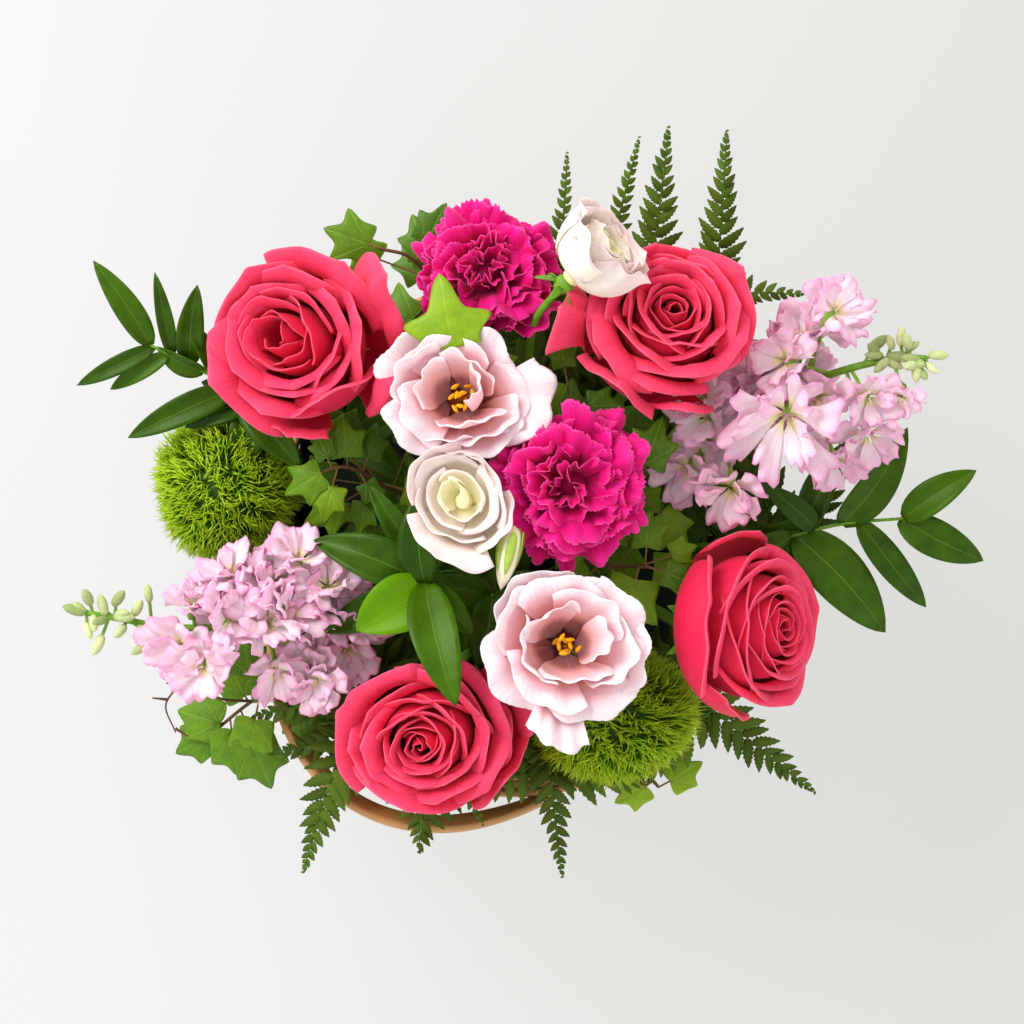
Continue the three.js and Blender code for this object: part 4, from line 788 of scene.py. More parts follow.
def ruscus(name, entry, path, leaves, fillers, seed, bright=None):
    """A ruscus stem with its listed leaves, of which bright is the number of one that takes the brightest
    tone, and so many fillers, which are small leaves low down between the blooms."""
    random = np.random.default_rng(seed)
    line = curve(rooted(entry, path), 48)
    stem, blade = Grids(), Grids()
    stem.add(tube(line, GIRTH["ruscus"], 8), 0.25)
    leaves_on(blade, line, leaves, random)
    if bright is not None:
        blade.tone[0].reshape(len(leaves), -1)[bright] = 1.0
    share = random.uniform(0.3, 0.74, fillers)
    azimuth = np.arange(fillers) * LEAF_TURN + seed * 40
    ranges = {"length": (30, 48), "width": (13, 19), "rise": (-4, 12), "roll": (-25, 25)}
    rest = [random.uniform(*span, fillers) for span in ranges.values()]
    leaves_on(blade, line, np.stack([share, azimuth, *rest], axis=1), random)
    piece(name + "_stalk", [name], stem, STEM_SKIN)
    piece(name + "_leaves", [name], blade, RUSCUS_LEAF, SHEET["ruscus"])


def frond(blade, line, width, bare, random):
    """Leaflets in pairs along a rib past its bare share, closer together towards the tip. Each leans forward
    and droops, and its outline is a lance cut into teeth."""
    length = distances(line)[-1]
    count = max(5, int(length * (1 - bare) / (3.7 + 0.065 * width)))
    t = 1 - (1 - np.linspace(0, 0.985, count)) ** 1.4
    share = bare + (1 - bare) * t
    root = spot(line, share)
    forward = unit(spot(line, np.minimum(share + 0.02, 1)) - spot(line, share - 0.02))
    across = unit(np.cross(UP, forward))
    stations = 14
    outline = np.maximum(lance(stations, 0.3, 0.36) * (1 - 0.24 * (np.arange(stations) % 2)), 0.05)
    for sign in (1, -1):
        half = width / 2 * (0.05 + 1.12 * (1 - t) ** 0.82) * np.minimum(1, 0.75 + t * 3)
        lean = np.radians(random.uniform(32, 42, count) + 22 * t**2)
        along = across * sign * np.cos(lean)[:, None] + forward * np.sin(lean)[:, None]
        along = unit(along - UP * random.uniform(0.0, 0.3, (count, 1)))
        side = unit(np.cross(unit(np.cross(forward, across)), along))
        side = turn_about(side, along, random.uniform(-0.35, 0.35, count))
        size = half * 1.5 * random.uniform(0.88, 1.12, count)
        stagger = 0.25 * (sign + 1) * length * (1 - bare) / count
        grid = blades(
            root + forward * stagger, along, side, np.cross(along, side), size, 1.7 + 0.32 * size,
            outline[None], columns=3, bow=0.06, fold=0.3, droop=0.12)
        blade.add(grid, random.uniform(0.1, 0.7) + random.uniform(-0.15, 0.15, count))


def fern(name, entry, path, width, side, seed):
    """A leather fern: a long frond that stands out past the blooms, and low side fronds that turn away from
    its rib, round the rim and back over the foam."""
    random = np.random.default_rng(seed)
    line = curve(rooted(entry, path), 80)
    blade, stem = Grids(), Grids()
    frond(blade, line, width, 0.4, random)
    stem.add(tube(line, GIRTH["fern"], 6), 0.05)
    ahead = line[-1] - line[0]
    bearing = math.atan2(ahead[1], ahead[0])
    for k, share in enumerate(np.linspace(0.28, 0.6, side)):
        root = spot(line, share)
        out = heading(bearing + (1 if k % 2 else -1) * math.radians(random.uniform(62, 128)))
        reach = random.uniform(34, 52)
        random.uniform(-8, 0)  # drawn only so that the draws after it stay the same
        low = curve(root + out * np.array([[0], [0.5], [1]]) * reach + UP * [[0], [4], [4]], 24)
        frond(blade, low, random.uniform(20, 28), 0.1, random)
        stem.add(tube(low, GIRTH["side_frond"], 5), 0.05)
    piece(name + "_rib", [name], stem, STEM_SKIN)
    piece(name + "_leaflets", [name], blade, FERN_LEAF, SHEET["fern"])


# Lobes of one half of an ivy leaf: degrees from the tip, how far each stands out, its width in degrees.
IVY_LOBES = np.array([[0, 0.5, 17], [54, 0.32, 16], [126, 0.2, 20]])
# The same for the broad young leaf that lies over the upper carnation, with three lobes.
THREE_LOBES = np.array([[0, 0.42, 21], [76, 0.36, 19], [120, 0.16, 16]])
LOW_IVY_LEAVES = 13


def ivy_leaf(root, azimuth, size, stalk, tilt, random, depth, lobes):
    """An ivy leaf: rays run out from the stalk's end to an outline that swells at each lobe as
    exp(-(angle / width)^1.4). It is cupped downwards with the square of the distance, tilted, waved, and
    grooved along the rays that lead to its lobes. depth is how far the lobes stand out."""
    turn = np.linspace(-180, 180, 61)
    mean = size * 0.62
    angle, swell, width = lobes.T[:, :, None]
    swell = swell * np.exp(-(np.abs(np.abs(turn) - angle) / width) ** 1.4)
    edge = 0.46 - 0.3 * (np.abs(turn) / 180) ** 5 + np.sum(swell * random.uniform(0.8, 1.2, (3, 1)), axis=0)
    edge = (0.62 + (edge - 0.62) * depth) * mean
    rim = heading(np.radians(turn))[:, :2] * edge[:, None] * random.uniform(0.94, 1.06, (1, 2))
    share = np.linspace(0, 1, 8)[:, None] ** 0.8
    flat = np.array([-0.3 * mean, 0]) * (1 - share[..., None]) + rim[None] * share[..., None]
    gap = np.min(np.abs(np.abs(turn) - angle), axis=0)
    vein = np.exp(-((gap[None] * share * size / 30 / 2.2) ** 2))
    away = np.linalg.norm(flat, axis=-1) / mean
    phase = random.uniform(0, 6.28)
    drop = -0.16 * size * away**2 + tilt * flat[..., 0] - 0.35 * vein * share
    drop = drop + 0.028 * size * np.sin(np.radians(turn) * 4 + phase)[None] * away**2
    out, across = heading(math.radians(azimuth)), heading(math.radians(azimuth + 90))
    middle = root + out * stalk + UP * 2
    grid = middle + out * flat[..., :1] + across * flat[..., 1:] + UP * drop[..., None]
    return grid, np.clip(vein, 0, 0.95)


def ivy(name, entry, path, leaves, seed, bright=3, depth=1.0, tendrils=(), lobes=IVY_LOBES):
    """An ivy runner, with leaves [share, azimuth, size, stalk, tilt] on thin stalks, smaller leaves low
    down, and tendrils. bright is the leaves' mean brightness in tenths."""
    random = np.random.default_rng(seed)
    line = curve(rooted(entry, path), 48)
    runner, blade = Grids(), Grids()
    runner.add(tube(line, GIRTH["ivy"], 7), 0.3)
    ranges = (19, 30), (6, 30), (-0.3, 0.3)
    extra = [
        [share, k * LEAF_TURN + seed * 50, *[random.uniform(*span) for span in ranges]]
        for k, share in enumerate(np.linspace(0.27, 0.78, LOW_IVY_LEAVES))]
    for share, azimuth, size, stalk, tilt in [*leaves, *extra]:
        root = spot(line, share)
        grid, vein = ivy_leaf(root, azimuth, size, stalk, tilt, random, depth, lobes)
        tone = math.floor(np.clip(bright + random.normal(0, 1.3), 0, 9.4))
        blade.add(grid, tone + vein[None])
        joint = grid[0, 0]
        stem = curve([root, (root + joint) / 2 - UP * 0.8, joint], 7)
        runner.add(tube(stem, 0.5, 5), 0.6)
    for loop in tendrils:
        runner.add(tube(curve(loop, 24), GIRTH["tendril"], 6), 0.2)
    piece(name + "_runner", [name], runner, TWIG_BARK)
    piece(name + "_leaves", [name], blade, IVY_LEAF, SHEET["ivy"])


# ---------------------------------------------------------------- flowers
SEPALS = 5


def calyx_and_stem(name, flower):
    """A stem from the foam to the bloom, the swelling under the bloom, and sepals that turn down from it. A
    bud has a stalk that leaves the same stem, closed petals with five ridges, and sepals that clasp it."""
    random = np.random.default_rng(len(name))
    base = np.array(flower["base"], float)
    axis = unit(np.array(flower["axis"], float))
    cup, r = flower["cup"], flower["radius"]
    under = base - axis * cup * 0.9
    bend = [flower["bend"]] if "bend" in flower else [base - axis * cup * 2.2 - UP * 14]
    entry = flower.get("entry", base[:2] * FAN)
    line = curve(rooted(entry, [*bend, under]), 40)
    stem, star = Grids(), Grids()
    stem.add(tube(line, r), 0.35)
    swelling = [[0, -cup], [r + 1.2, -cup * 0.9], [r + 2.6, -cup * 0.5], [r + 2.2, -1], [0, -0.4]]
    stem.add(stand(turned(swelling, 14, 16), base, axis), 0.45)
    out = heading(np.radians(np.arange(SEPALS) * 360 / SEPALS + 11))
    along = unit(out + UP * random.uniform(-0.75, -0.2, (SEPALS, 1)))
    side = unit(np.cross(UP, along))
    roots = out * (r + 1.5) + UP * (-cup * 0.55)
    length = np.full(SEPALS, flower["sepals"])
    grid = blades(roots, along, side, np.cross(along, side), length * 1.05, length * 0.3 + 1, lance(9)[None])
    star.add(stand(grid, base, axis), 0.4)
    if "bud" in flower:
        bud = flower["bud"]
        stem.add(tube(curve(bud["path"], 16), 1.1, 8), 0.5)
        shape = turned([[0, -2], [3.4, 1], [5, 9], [4.2, 18], [2.2, 25], [0, bud["length"]]], 20, 20)
        shape[..., :2] *= 1 + 0.08 * np.sin(np.linspace(0, TURN, 21) * 5)[None, :, None]
        closed = Grids()
        closed.add(stand(shape, bud["path"][-1], bud["axis"]), 0.2)
        piece(name + "_bud", [name + "_stem"], closed, CREAM_PETAL)
        out = heading(np.radians(np.arange(SEPALS) * 360 / SEPALS))
        length, width = np.full(SEPALS, 21.0), np.full(SEPALS, 4.6)
        grid = blades(
            out * 4.7, unit(UP - out * 0.06), unit(np.cross(UP, out)), out, length, width, lance(9)[None],
            columns=3, bow=0.05)
        star.add(stand(grid, bud["path"][-1], bud["axis"]), 0.85)
    piece(name + "_stalk", [name + "_stem"], stem, STEM_SKIN)
    piece(name + "_sepals", [name + "_stem"], star, STEM_SKIN, SHEET["sepal"])


def flower_head(name, flower, seed):
    """The bloom's petals on its base, with a small solid heart, coloured like the claws that it holds."""
    shape = {key: flower[key] for key in ("guards", "size", "lean", "oval") if key in flower}
    grid, ages = bloom(flower["form"], seed, **shape)
    blossom, heart = Grids(), Grids()
    blossom.add(stand(grid, flower["base"], flower["axis"]), ages)
    # The heart takes the colour near the claws, which on roses and carnations is painted shade, so there it
    # is painted dark.
    near_claw = np.full((12, 21, 2), 0.06)
    heart.add(stand(turned(flower["heart"], 12, 20), flower["base"], flower["axis"]), 0.6, near_claw)
    slot, skin = flower["slot"], flower["skin"]
    piece(name + "_bloom", [name + "_petals"], blossom, skin, flower["sheet"])
    piece(name + "_heart", [name + "_petals"], heart, skin)


STAMENS = 12


def stamens(name, flower, seed):
    """Stamens on curved threads round a pistil: each anther lies across its thread, bent up a little."""
    random = np.random.default_rng(seed)
    place = flower["base"], flower["axis"]
    grids = Grids()
    pistil = curve([[0, 0, 5], [0.4, 0, 11], [0.6, 0.3, 17]], 8)
    grids.add(stand(tube(pistil, GIRTH["pistil"], 8), *place), -0.2)
    for k in range(STAMENS):
        out = heading(math.radians(k * LEAF_TURN + random.uniform(-20, 20)))
        reach = random.uniform(1.5, 6.5)
        tip = out * reach + UP * random.uniform(14, 20)
        thread = curve([out * 1.6 + UP * 7, out * reach * 0.7 + UP * 12, tip], 7)
        grids.add(stand(tube(thread, 0.35, 5), *place), 0.1)
        lean = unit(np.cross(UP, out) + random.uniform(-1, 1) * out + UP * random.uniform(-0.2, 0.5))
        anther = curve([tip - lean * 2.1, tip + UP * 0.5, tip + lean * 2.1], 7)
        girth = [0.3, 0.75, 0.95, 1.0, 0.95, 0.75, 0.3]
        grids.add(stand(tube(anther, girth, 7), *place), random.uniform(0.2, 0.9))
    piece(name + "_anthers", [name + "_stamens"], grids, ANTHER_DUST)


BRACTS = dict(count=5600, inside=22.0, outside=34.5)


def green_ball(name, centre, entry, stretch, seed):
    """A round head of hair-fine bracts: evenly spread directions on a ball, each with a thread that starts
    inside, swells a little, and bends away sideways with the square of the distance. Sines of the direction
    make the head a little lumpy and bend neighbouring threads together into tufts."""
    random = np.random.default_rng(seed)
    count = BRACTS["count"]
    k = np.arange(count)
    z = 1 - 2 * (k + 0.5) / count
    ring = np.sqrt(1 - z * z)
    out = np.stack([ring * np.cos(k * GOLDEN), ring * np.sin(k * GOLDEN), z], axis=-1)
    out = unit(out + random.normal(0, 0.05, (count, 3)))
    lumps = np.sin(out @ [4.1, 2.3, 1.1] + seed) + np.sin(out @ [-2.2, 4.6, 3.1] + 2 * seed)
    reach = BRACTS["outside"] + 1.3 * lumps + random.normal(0, 1.5, count)
    tufts = [np.sin(out @ np.roll([9.0, 5.0, 7.0], way) * 1.6 + 2 * way + seed) for way in range(3)]
    bend = random.normal(0, 0.8, (count, 3)) + 1.1 * np.stack(tufts, axis=-1)
    bend = unit(bend - out * np.sum(bend * out, axis=-1, keepdims=True)) * random.uniform(2, 9, (count, 1))
    s = np.array([0, 0.3, 0.68, 1.0])
    far = BRACTS["inside"] + (reach[:, None] - BRACTS["inside"]) * s
    line = out[:, None] * far[..., None] + bend[:, None] * (s**2)[None, :, None]
    side = unit(np.cross(out, np.where(np.abs(z[:, None]) > 0.9, [[1.0, 0, 0]], [[0, 0, 1.0]])))
    lift = np.cross(out, side)
    turn = np.linspace(0, TURN, 4)[:, None]
    girth = np.array([0, 0.6, 0.48, 0])[None, :, None, None] * random.uniform(0.8, 1.25, (count, 1, 1, 1))
    loop = side[:, None] * np.cos(turn) + lift[:, None] * np.sin(turn)
    grid = line[:, :, None] + loop[:, None] * girth
    hair, head, stem = Grids(), Grids(), Grids()
    # Each bract darkens towards its root, painted shade between the bracts; the yellow-green tips are their
    # own colour.
    tone = np.array([-0.2, 0.1, 0.55, 0.95])[None, :, None] + random.uniform(-0.12, 0.12, (count, 1, 1))
    hair.add(grid * stretch + np.array(centre, float), tone)
    # The solid heart under the bracts takes the darkest colour, painted shade.
    profile = [[0, -26.5], [13, -23], [23, -13], [26.5, 0], [23, 13], [13, 23], [0, 26.5]]
    head.add(turned(profile, 30, 40) * stretch + np.array(centre, float), -0.3)
    line = curve(rooted(entry, [[centre[0], centre[1], centre[2] - 24]]), 20)
    stem.add(tube(line, 2.1, 8), 0.3)
    piece(name + "_bracts", [name], hair, MOSS_HAIR)
    piece(name + "_heart", [name], head, MOSS_HAIR)
    piece(name + "_stalk", [name], stem, STEM_SKIN)


STAR_SIZE = 20  # a floret at least this large, in millimetres, is the star-shaped one
FLORET = 15  # half the spread of a floret as its form is drawn, where the star's is half a millimetre more


def stock(name, entry, path, florets, buds, extra, seed):
    """A spike of stock: double florets [share, azimuth, reach, rise, size] on short stalks all round the
    stem, then green buds [share, azimuth, reach] towards its tip. extra says how many more of each there
    are and where."""
    random = np.random.default_rng(seed)
    line = curve(rooted(entry, path), 60)
    stem, blossom, closed = Grids(), Grids(), Grids()
    stem.add(tube(line, GIRTH["stock"], 9), 0.5)
    more = [
        [random.uniform(*extra["shares"]), random.uniform(-180, 180), random.uniform(10, extra["reach"]),
         random.uniform(0, 20), random.uniform(12.5, 17)] for _ in range(extra["count"])]
    for k, (share, azimuth, reach, rise, size) in enumerate([*florets, *more]):
        root = spot(line, share)
        out = heading(math.radians(azimuth))
        middle = root + out * reach + UP * rise
        star = size >= STAR_SIZE
        facing = unit(out * (0.45 + reach * 0.015) + UP + random.normal(0, 0.3, 3) * (not star))
        scale = size / (FLORET + 0.5 * star)
        grid, ages = bloom(STAR if star else STOCK, seed * 100 + k, size=scale)
        blossom.add(stand(grid, middle, facing), ages)
        neck = curve([root, (root + middle) / 2 - UP * 1.5, middle - facing * 6, middle], 9)
        stem.add(tube(neck, [0.9, 0.9, 0.9, 0.9, 1.0, 1.9, 2.1, 1.8, 1.2], 7), 0.6)
    close = [(random.uniform(0.9, 1), k * LEAF_TURN, random.uniform(3, 7)) for k in range(extra["tip"])]
    for share, azimuth, reach in [*buds, *close]:
        root = spot(line, share)
        out = heading(math.radians(azimuth))
        middle = root + out * reach + UP * 2
        lean = unit(out + UP * 0.5)
        stem.add(tube(curve([root, (root + middle) / 2 - UP, middle], 7), 0.8, 6), 0.6)
        plump = random.uniform(0.65, 0.95)
        shape = turned([[0, -4], [2.1, -2.4], [2.9, 1.5], [2.3, 6], [0, 9]], 12, 12) * plump
        closed.add(stand(shape, middle, unit(lean + random.normal(0, 0.3, 3))), random.uniform(0.1, 0.9))
    piece(name + "_florets", [name], blossom, STOCK_PETAL, SHEET["stock"])
    piece(name + "_spike", [name], stem, STEM_SKIN)
    piece(name + "_buds", [name], closed, STOCK_BUD)


# ---------------------------------------------------------------- where everything stands
# Each flower has the middle of its base, the way it faces, and what sets it apart from its kind. Each kind
# has the stem's radius, the depth of the cup under the bloom, the sepals' length and the heart's profile.
FLOWERS = {
    "rose_upper_left": dict(
        kind="rose", form=OPEN_ROSE, base=(-93, 89, 191), axis=(-0.12, 0.03, 0.99), lean=(-11, 3),
        oval=(0.05, 50), guards=[(26, 45, 120, 0.6), (-22, 44, 120, 0.55), (-100, 36, 120, 0.45)]),
    "rose_upper_right": dict(
        kind="rose", base=(70, 94, 199), axis=(0.05, 0.22, 0.97), lean=(1, 2), oval=(0.1, 60),
        guards=[(178, 56, 150, 0.4), (-130, 45, 125, 0.55), (-88, 34, 130, 0.45)]),
    "rose_bottom": dict(
        kind="rose", base=(-38, -90, 169), axis=(-0.06, -0.04, 0.99), lean=(-3, -4), oval=(0.1, 95),
        guards=[(25, 41, 120, 0.6), (-31, 41, 120, 0.6)]),
    "rose_right": dict(
        kind="rose", form=CLOSE_ROSE, base=(91, -40, 185), axis=(0.79, 0, 0.62),
        guards=[(176, 41, 135, 0.62), (-116, 36, 110, 0.5), (92, 38, 100, 0.45)]),
    "carnation_top": dict(kind="carnation", base=(-12, 118, 201), axis=(-0.05, 0.28, 0.96), size=0.98),
    "carnation_middle": dict(kind="carnation", base=(26, 26, 212), axis=(0, 0, 1)),
    "lisianthus_upper": dict(
        kind="blush", base=(-25, 64, 224), axis=(0.05, 0.05, 1), lean=(-3, 3), oval=(0.14, 80), size=0.94),
    "lisianthus_lower": dict(
        kind="blush", base=(23, -47, 219), axis=(0, -0.1, 1), lean=(5, 4), oval=(0.08, 60),
        guards=[(-99, 51, 55, 0.45)]),
    "lisianthus_cream_top": dict(
        kind="cream", form=CREAM_CUP, base=(25, 118, 250), axis=(0.7, 0.6, 0.36), size=0.99,
        bend=(8, 94, 215), entry=(8, 42)),
    "lisianthus_cream_middle": dict(
        kind="cream", base=(-22, 18, 223), axis=(-0.12, 0.02, 1), size=0.8, lean=(-4, 3), oval=(0.14, 30),
        guards=[(-115, 39, 60, 0.75), (135, 38, 65, 0.8), (-30, 33, 60, 0.7), (60, 30, 60, 0.7)],
        bud=dict(
            path=[(-21, 18, 185), (-14, 8, 205), (-9, 4, 230), (0, 5, 238)], axis=(-6, -28, -6), length=29)),
}
KINDS = {
    "rose": dict(
        form=ROSE, skin=ROSE_PETAL, slot="rose", sheet=0.5, radius=2.8, cup=7, sepals=17,
        heart=[[0, 0], [5, 0], [7, 8], [4, 24], [2.5, 34], [0, 38]]),
    "carnation": dict(
        form=CARNATION, skin=CARNATION_PETAL, slot="carnation", sheet=0.28, radius=2, cup=12, sepals=7,
        heart=[[0, 0], [5, 0], [8, 8], [9, 14], [5, 20], [0, 22]]),
    "blush": dict(
        form=BLUSH, skin=BLUSH_PETAL, slot="blush", sheet=0.3, radius=1.8, cup=8, sepals=12,
        heart=[[0, 0], [4, 0], [5.5, 3], [3, 7], [0, 9]]),
    "cream": dict(
        form=CREAM, skin=CREAM_PETAL, slot="cream", sheet=0.3, radius=1.8, cup=8, sepals=10,
        heart=[[0, 0], [4, 0], [4, 8], [2.5, 14], [0, 17]]),
}
BALLS = {
    "green_ball_left": dict(centre=(-137, 26, 160), entry=(-64, 12), stretch=(1.0, 1.09, 1.0), seed=11),
    "green_ball_lower": dict(centre=(48, -84, 160), entry=(24, -46), stretch=(1.16, 0.97, 1.0), seed=23),
}
STOCKS = {
    "stock_left": dict(
        entry=(-50, -22), path=[(-86, -38, 165), (-115, -40, 188), (-158, -41, 194), (-200, -34, 198)],
        florets=[
            (0.65, 108, 25, 12, 13), (0.6, 30, 8, 22, 16), (0.74, -108, 19, -4, 13), (0.62, -75, 22, 2, 13),
            (0.77, 90, 10, 11, 10), (0.52, -75, 27, 12, 13), (0.55, 85, 30, 20, 14), (0.5, 66, 19, 28, 13)],
        buds=[(0.86, 95, 13), (0.87, -100, 11), (0.94, 80, 8), (0.95, -110, 12), (1, 165, 3)],
        extra=dict(count=17, shares=(0.4, 0.74), reach=25, tip=11)),
    "stock_right": dict(
        entry=(60, 26), path=[(100, 50, 160), (140, 74, 196), (175, 84, 212), (190, 84, 218)],
        florets=[
            (0.67, -110, 10, 34, 24), (0.7, 69, 36, 36, 14), (0.69, 85, 23, 18, 14), (0.83, -62, 15, 10, 13),
            (0.93, -80, 18, 4, 9), (0.82, -72, 31, 2, 14), (0.46, 125, 20, 44, 13), (0.48, -92, 26, 34, 16),
            (0.74, -76, 37, 4, 13)],
        buds=[(0.86, 60, 10), (0.95, 100, 8), (0.97, -60, 8), (1, 20, 4)],
        extra=dict(count=17, shares=(0.42, 0.8), reach=30, tip=14)),
}
RUSCUS = {
    "ruscus_left": dict(
        entry=(-60, 32), path=[(-95, 52, 152), (-128, 70, 183), (-170, 91, 195)], fillers=9,
        leaves=[
            (1, 116, 46, 13, 10), (0.94, 96, 39, 8, 10), (0.89, 89, 37, 13, 12), (0.81, 112, 29, 12, 10, 30),
            (0.85, 150, 24, 12, 6, -40), (0.99, -152, 41, 9, -5), (0.95, -150, 32, 9, -8),
            (0.76, -157, 56, 14, -6), (0.74, 73, 61, 12, -2)]),
    "ruscus_right": dict(
        entry=(68, 0), path=[(95, -3, 145), (118, -2, 165), (153, 7, 180), (183, 10, 190)], fillers=9,
        leaves=[
            (0.83, 53, 54, 19, 20, 20), (1, 35, 40, 16, 8, -15), (0.99, -32, 45, 18, -2),
            (0.88, -54, 53, 14, -10), (0.7, -40, 64, 26, -6), (0.76, 133, 34, 12, 12)]),
    "ruscus_middle": dict(
        entry=(-24, -13), path=[(-36, -17, 170), (-41, -20, 216)], fillers=10, bright=2,
        leaves=[
            (0.96, 156, 56, 22, 0, 10), (1, 98, 45, 19, 8, -20), (0.99, -138, 38, 27, 4),
            (1, -81, 58, 22, 20), (0.95, -50, 32, 14, -8), (0.86, -150, 56, 19, 4),
            (0.88, 118, 52, 14, 12)]),
    "ruscus_inner": dict(
        entry=(-6, -28), path=[(-10, -26, 190)], fillers=8,
        leaves=[(0.99, -95, 34, 19, -6), (0.94, -30, 26, 12, 2), (0.9, 170, 34, 15, 4)]),
}
# Where the stem enters the foam, its path, the frond's width and the number of side fronds.
FERNS = {
    "fern_top_1": ((14, 68), [(18, 100, 152), (22, 132, 186), (25, 178, 201)], 20, 8),
    "fern_top_2": ((26, 70), [(40, 112, 158), (49, 150, 188), (58, 185, 205)], 19, 7),
    "fern_top_3": ((34, 66), [(54, 106, 156), (65, 133, 184), (72, 189, 205)], 30, 7),
    "fern_top_4": ((46, 60), [(76, 96, 156), (94, 121, 184), (99, 187, 208)], 30, 6),
    "fern_top_5": ((52, 52), [(84, 88, 152), (104, 114, 176), (136, 116, 182)], 27, 7),
    "fern_lower_left": ((-40, -62), [(-66, -88, 150), (-84, -108, 172), (-100, -156, 162)], 34, 7),
    "fern_left_1": ((-52, -46), [(-68, -64, 146), (-88, -76, 160), (-124, -85, 154)], 32, 8),
    "fern_left_2": ((-46, -54), [(-62, -76, 144), (-82, -95, 162), (-114, -102, 159)], 30, 8),
    "fern_bottom_1": ((-24, -74), [(-36, -98, 144), (-42, -116, 160), (-45, -145, 168)], 48, 6),
    "fern_bottom_2": ((-14, -78), [(-22, -98, 142), (-24, -114, 157), (-16, -134, 164)], 22, 6),
    "fern_bottom_3": ((12, -76), [(15, -98, 138), (18, -118, 150), (23, -161, 140)], 24, 8),
    "fern_lower_right": ((52, -52), [(78, -70, 128), (100, -86, 136), (144, -122, 132)], 30, 7),
    "fern_right": ((72, 12), [(108, 8, 136), (142, 6, 154), (159, 48, 172)], 28, 10),
}
IVIES = {
    "ivy_top_left": dict(
        entry=(-20, 72), path=[(-32, 106, 152), (-46, 131, 182), (-64, 137, 191)], bright=2,
        leaves=[
            (1, 160, 30, 10, 0.1), (0.86, 62, 26, 15, 0.2), (0.5, 175, 30, 38, -0.2),
            (0.56, -170, 28, 30, -0.1), (0.46, 150, 30, 30, -0.2), (0.42, 20, 28, 30, -0.2),
            (0.6, 120, 28, 26, -0.2)]),
    "ivy_over_carnation": dict(
        entry=(-15, 52), path=[(-25, 74, 170), (-29, 93, 242)], bright=7, depth=1.3, lobes=THREE_LOBES,
        leaves=[(0.99, 100, 43, 3, 0.05)]),
    "ivy_left": dict(
        entry=(-40, 14), path=[(-62, 26, 165), (-78, 34, 188), (-90, 32, 193)], bright=2,
        leaves=[
            (0.98, -150, 26, 8, -0.1), (0.96, 115, 17, 9, 0), (0.9, 95, 26, 10, 0.1), (0.82, 75, 22, 12, 0),
            (0.94, -105, 22, 14, -0.2), (0.84, -60, 18, 10, -0.2), (0.72, -150, 28, 24, 0),
            (0.64, 172, 28, 32, 0), (0.66, -115, 27, 26, 0), (0.8, 130, 26, 22, 0)]),
    "ivy_right_of_middle": dict(
        entry=(38, 13), path=[(52, 27, 165), (61, 33, 203)], bright=4, leaves=[(0.99, 70, 30, 8, 0.1)]),
    "ivy_above_middle": dict(
        entry=(21, 30), path=[(26, 52, 170), (27, 64, 202)], bright=3,
        leaves=[(0.99, 165, 26, 10, 0), (0.97, 0, 22, 12, 0), (0.97, 100, 18, 22, 0)]),
    "ivy_lower_right_of_middle": dict(
        entry=(29, -11), path=[(46, -13, 165), (62, -12, 196)], bright=3,
        leaves=[(0.95, -105, 38, 14, 0), (0.99, -20, 20, 14, -0.1), (0.99, 85, 22, 13, 0.1),
                (0.97, 20, 18, 18, 0)]),
    "ivy_lower_left": dict(
        entry=(-66, -36), path=[(-98, -60, 144), (-126, -78, 152), (-146, -94, 134)], bright=3, depth=0.65,
        leaves=[
            (1, -150, 30, 6, -0.3), (0.94, 165, 32, 8, -0.2), (0.9, -80, 34, 12, -0.3),
            (0.97, -45, 32, 14, -0.3), (0.84, -70, 34, 22, -0.3), (0.8, 120, 30, 10, -0.1),
            (0.76, -100, 30, 18, -0.2)],
        tendrils=[
            [(-126, -78, 152), (-140, -76, 166), (-154, -68, 176), (-165, -78, 174), (-161, -92, 168)],
            [(-152, -69, 175), (-157, -66, 181), (-164, -68, 182)], [(-164, -76, 174), (-171, -75, 178)],
            [(-161, -90, 169), (-155, -94, 168)]]),
    "ivy_lower_right": dict(
        entry=(38, -66), path=[(50, -86, 115), (62, -110, 121), (71, -122, 122)], bright=6, depth=0.8,
        leaves=[(0.96, -150, 24, 9, -0.1), (1, 30, 24, 11, 0)]),
}

basket()
hoops()
handle("handle_front", HANDLE["azimuth"])
handle("handle_back", HANDLE["azimuth"] + 180)
filling()
for seed, (name, flower) in enumerate(FLOWERS.items(), 1):
    flower = {**KINDS[flower["kind"]], **flower}
    calyx_and_stem(name, flower)
    flower_head(name, flower, seed)
    if flower["kind"] == "blush":
        stamens(name, flower, seed)
for name, ball in BALLS.items():
    green_ball(name, **ball)
for seed, (name, spike) in enumerate(STOCKS.items(), 31):
    stock(name, seed=seed, **spike)
for seed, (name, stem) in enumerate(RUSCUS.items(), 41):
    ruscus(name, seed=seed, **stem)
for seed, (name, (entry, path, width, side)) in enumerate(FERNS.items(), 51):
    fern(name, entry, path, width, side, seed)
for seed, (name, stem) in enumerate(IVIES.items(), 71):
    ivy(name, seed=seed, **stem)


# ---------------------------------------------------------------- studio
FLOOR_REACH = 4000
FOCAL = 3322  # focal length of the photo's camera in pixels
FRAME = 1024  # width of the photo in pixels
SENSOR = 36


def placed(name, data, location=(0, 0, 0)):
    """An object that isn't a piece, put into the scene at a place in metres."""
    obj = bpy.data.objects.new(name, data)
    obj.location = location
    bpy.context.scene.collection.objects.link(obj)
    return obj


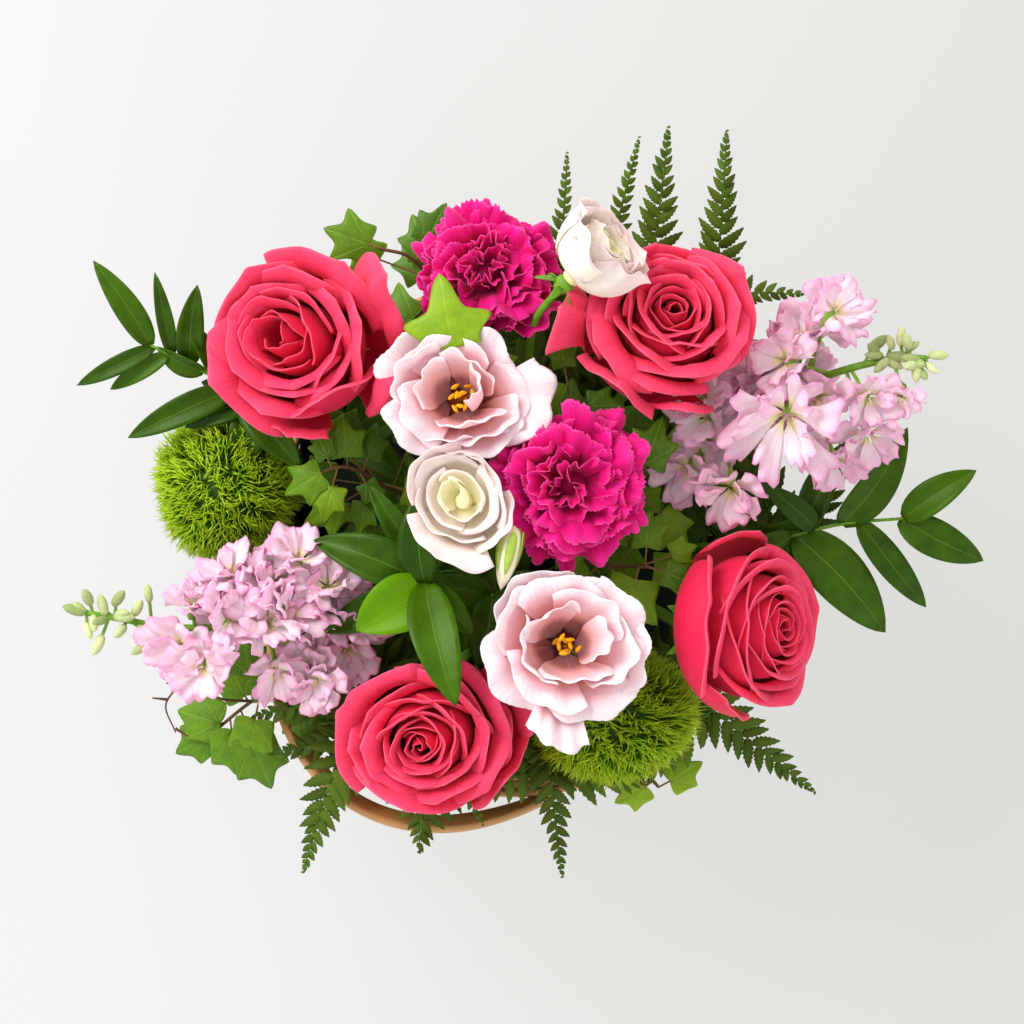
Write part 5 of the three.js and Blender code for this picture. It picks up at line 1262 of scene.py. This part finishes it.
def studio():
    """A pale paper floor that glows with painted light, a large soft light up on the left, an even pale
    surround, and the camera overhead."""
    floor = Grids()
    x, y = np.meshgrid(*[np.linspace(-FLOOR_REACH, FLOOR_REACH, 3)] * 2)
    floor.add(np.stack([x, y, np.full_like(x, -0.05)], axis=-1))
    # Backdrop paper: matt white with a faint mottle. It glows a little, painted light that lifts the shadows
    # on it and lights the bunch from below, and the glow is painted darker towards the right, a painted
    # falloff of the key light.
    material, tree = empty("white_backdrop_paper")
    place, *_ = sources(tree)
    left = node(tree, "SeparateXYZ", {0: place})
    left = node(tree, "MapRange", {0: left, 1: -0.25, 2: 0.25, 3: 0.0, 4: 1.0})
    glow = node(tree, "ValToRGB", {"Fac": left}, [(0, "FFFFFF"), (1, "EBECE8")])
    mottle = node(tree, "TexNoise", {"Vector": place, "Scale": 3.0, "Detail": 2.0})
    paper = node(tree, "ValToRGB", {"Fac": mottle}, [(0.2, "6E6E6D"), (0.8, "727271")])
    shaded(
        material, Base_Color=paper, Emission_Color=glow, Emission_Strength=0.68, Roughness=0.9,
        Specular_IOR_Level=0.1)
    sheet = placed("floor", floor.mesh("floor", weld=False))
    sheet.data.materials.append(material)

    key = bpy.data.lights.new("key", "AREA")
    key.shape, key.size, key.energy = "DISK", 1.6, 54.0
    lamp = placed("key", key, (-1.5, 1.3, 1.9))
    lamp.rotation_euler = (Vector((0, 0, 0.15)) - lamp.location).to_track_quat("-Z", "Y").to_euler()

    # An even surround, dimmer overhead so that upward faces don't turn milky.
    world = bpy.data.worlds.new("surround")
    world.use_nodes = True
    tree = world.node_tree
    place = node(tree, "TexCoord")
    split = node(tree, "SeparateXYZ", {0: place.outputs["Generated"]})
    shade = node(tree, "MapRange", {0: split.outputs[2], 1: 0.2, 2: 1.0, 3: 1.22, 4: 0.88})
    tree.nodes["Background"].inputs["Color"].default_value = linear("FFFFFF")
    tree.links.new(shade.outputs[0], tree.nodes["Background"].inputs["Strength"])
    bpy.context.scene.world = world

    camera = bpy.data.cameras.new("camera")
    camera.sensor_width = SENSOR
    camera.lens = SENSOR * FOCAL / FRAME
    bpy.context.scene.camera = placed("camera", camera, (-0.0008, 0.013, 1.75))
    bpy.context.scene.view_settings.view_transform = "Standard"


studio()
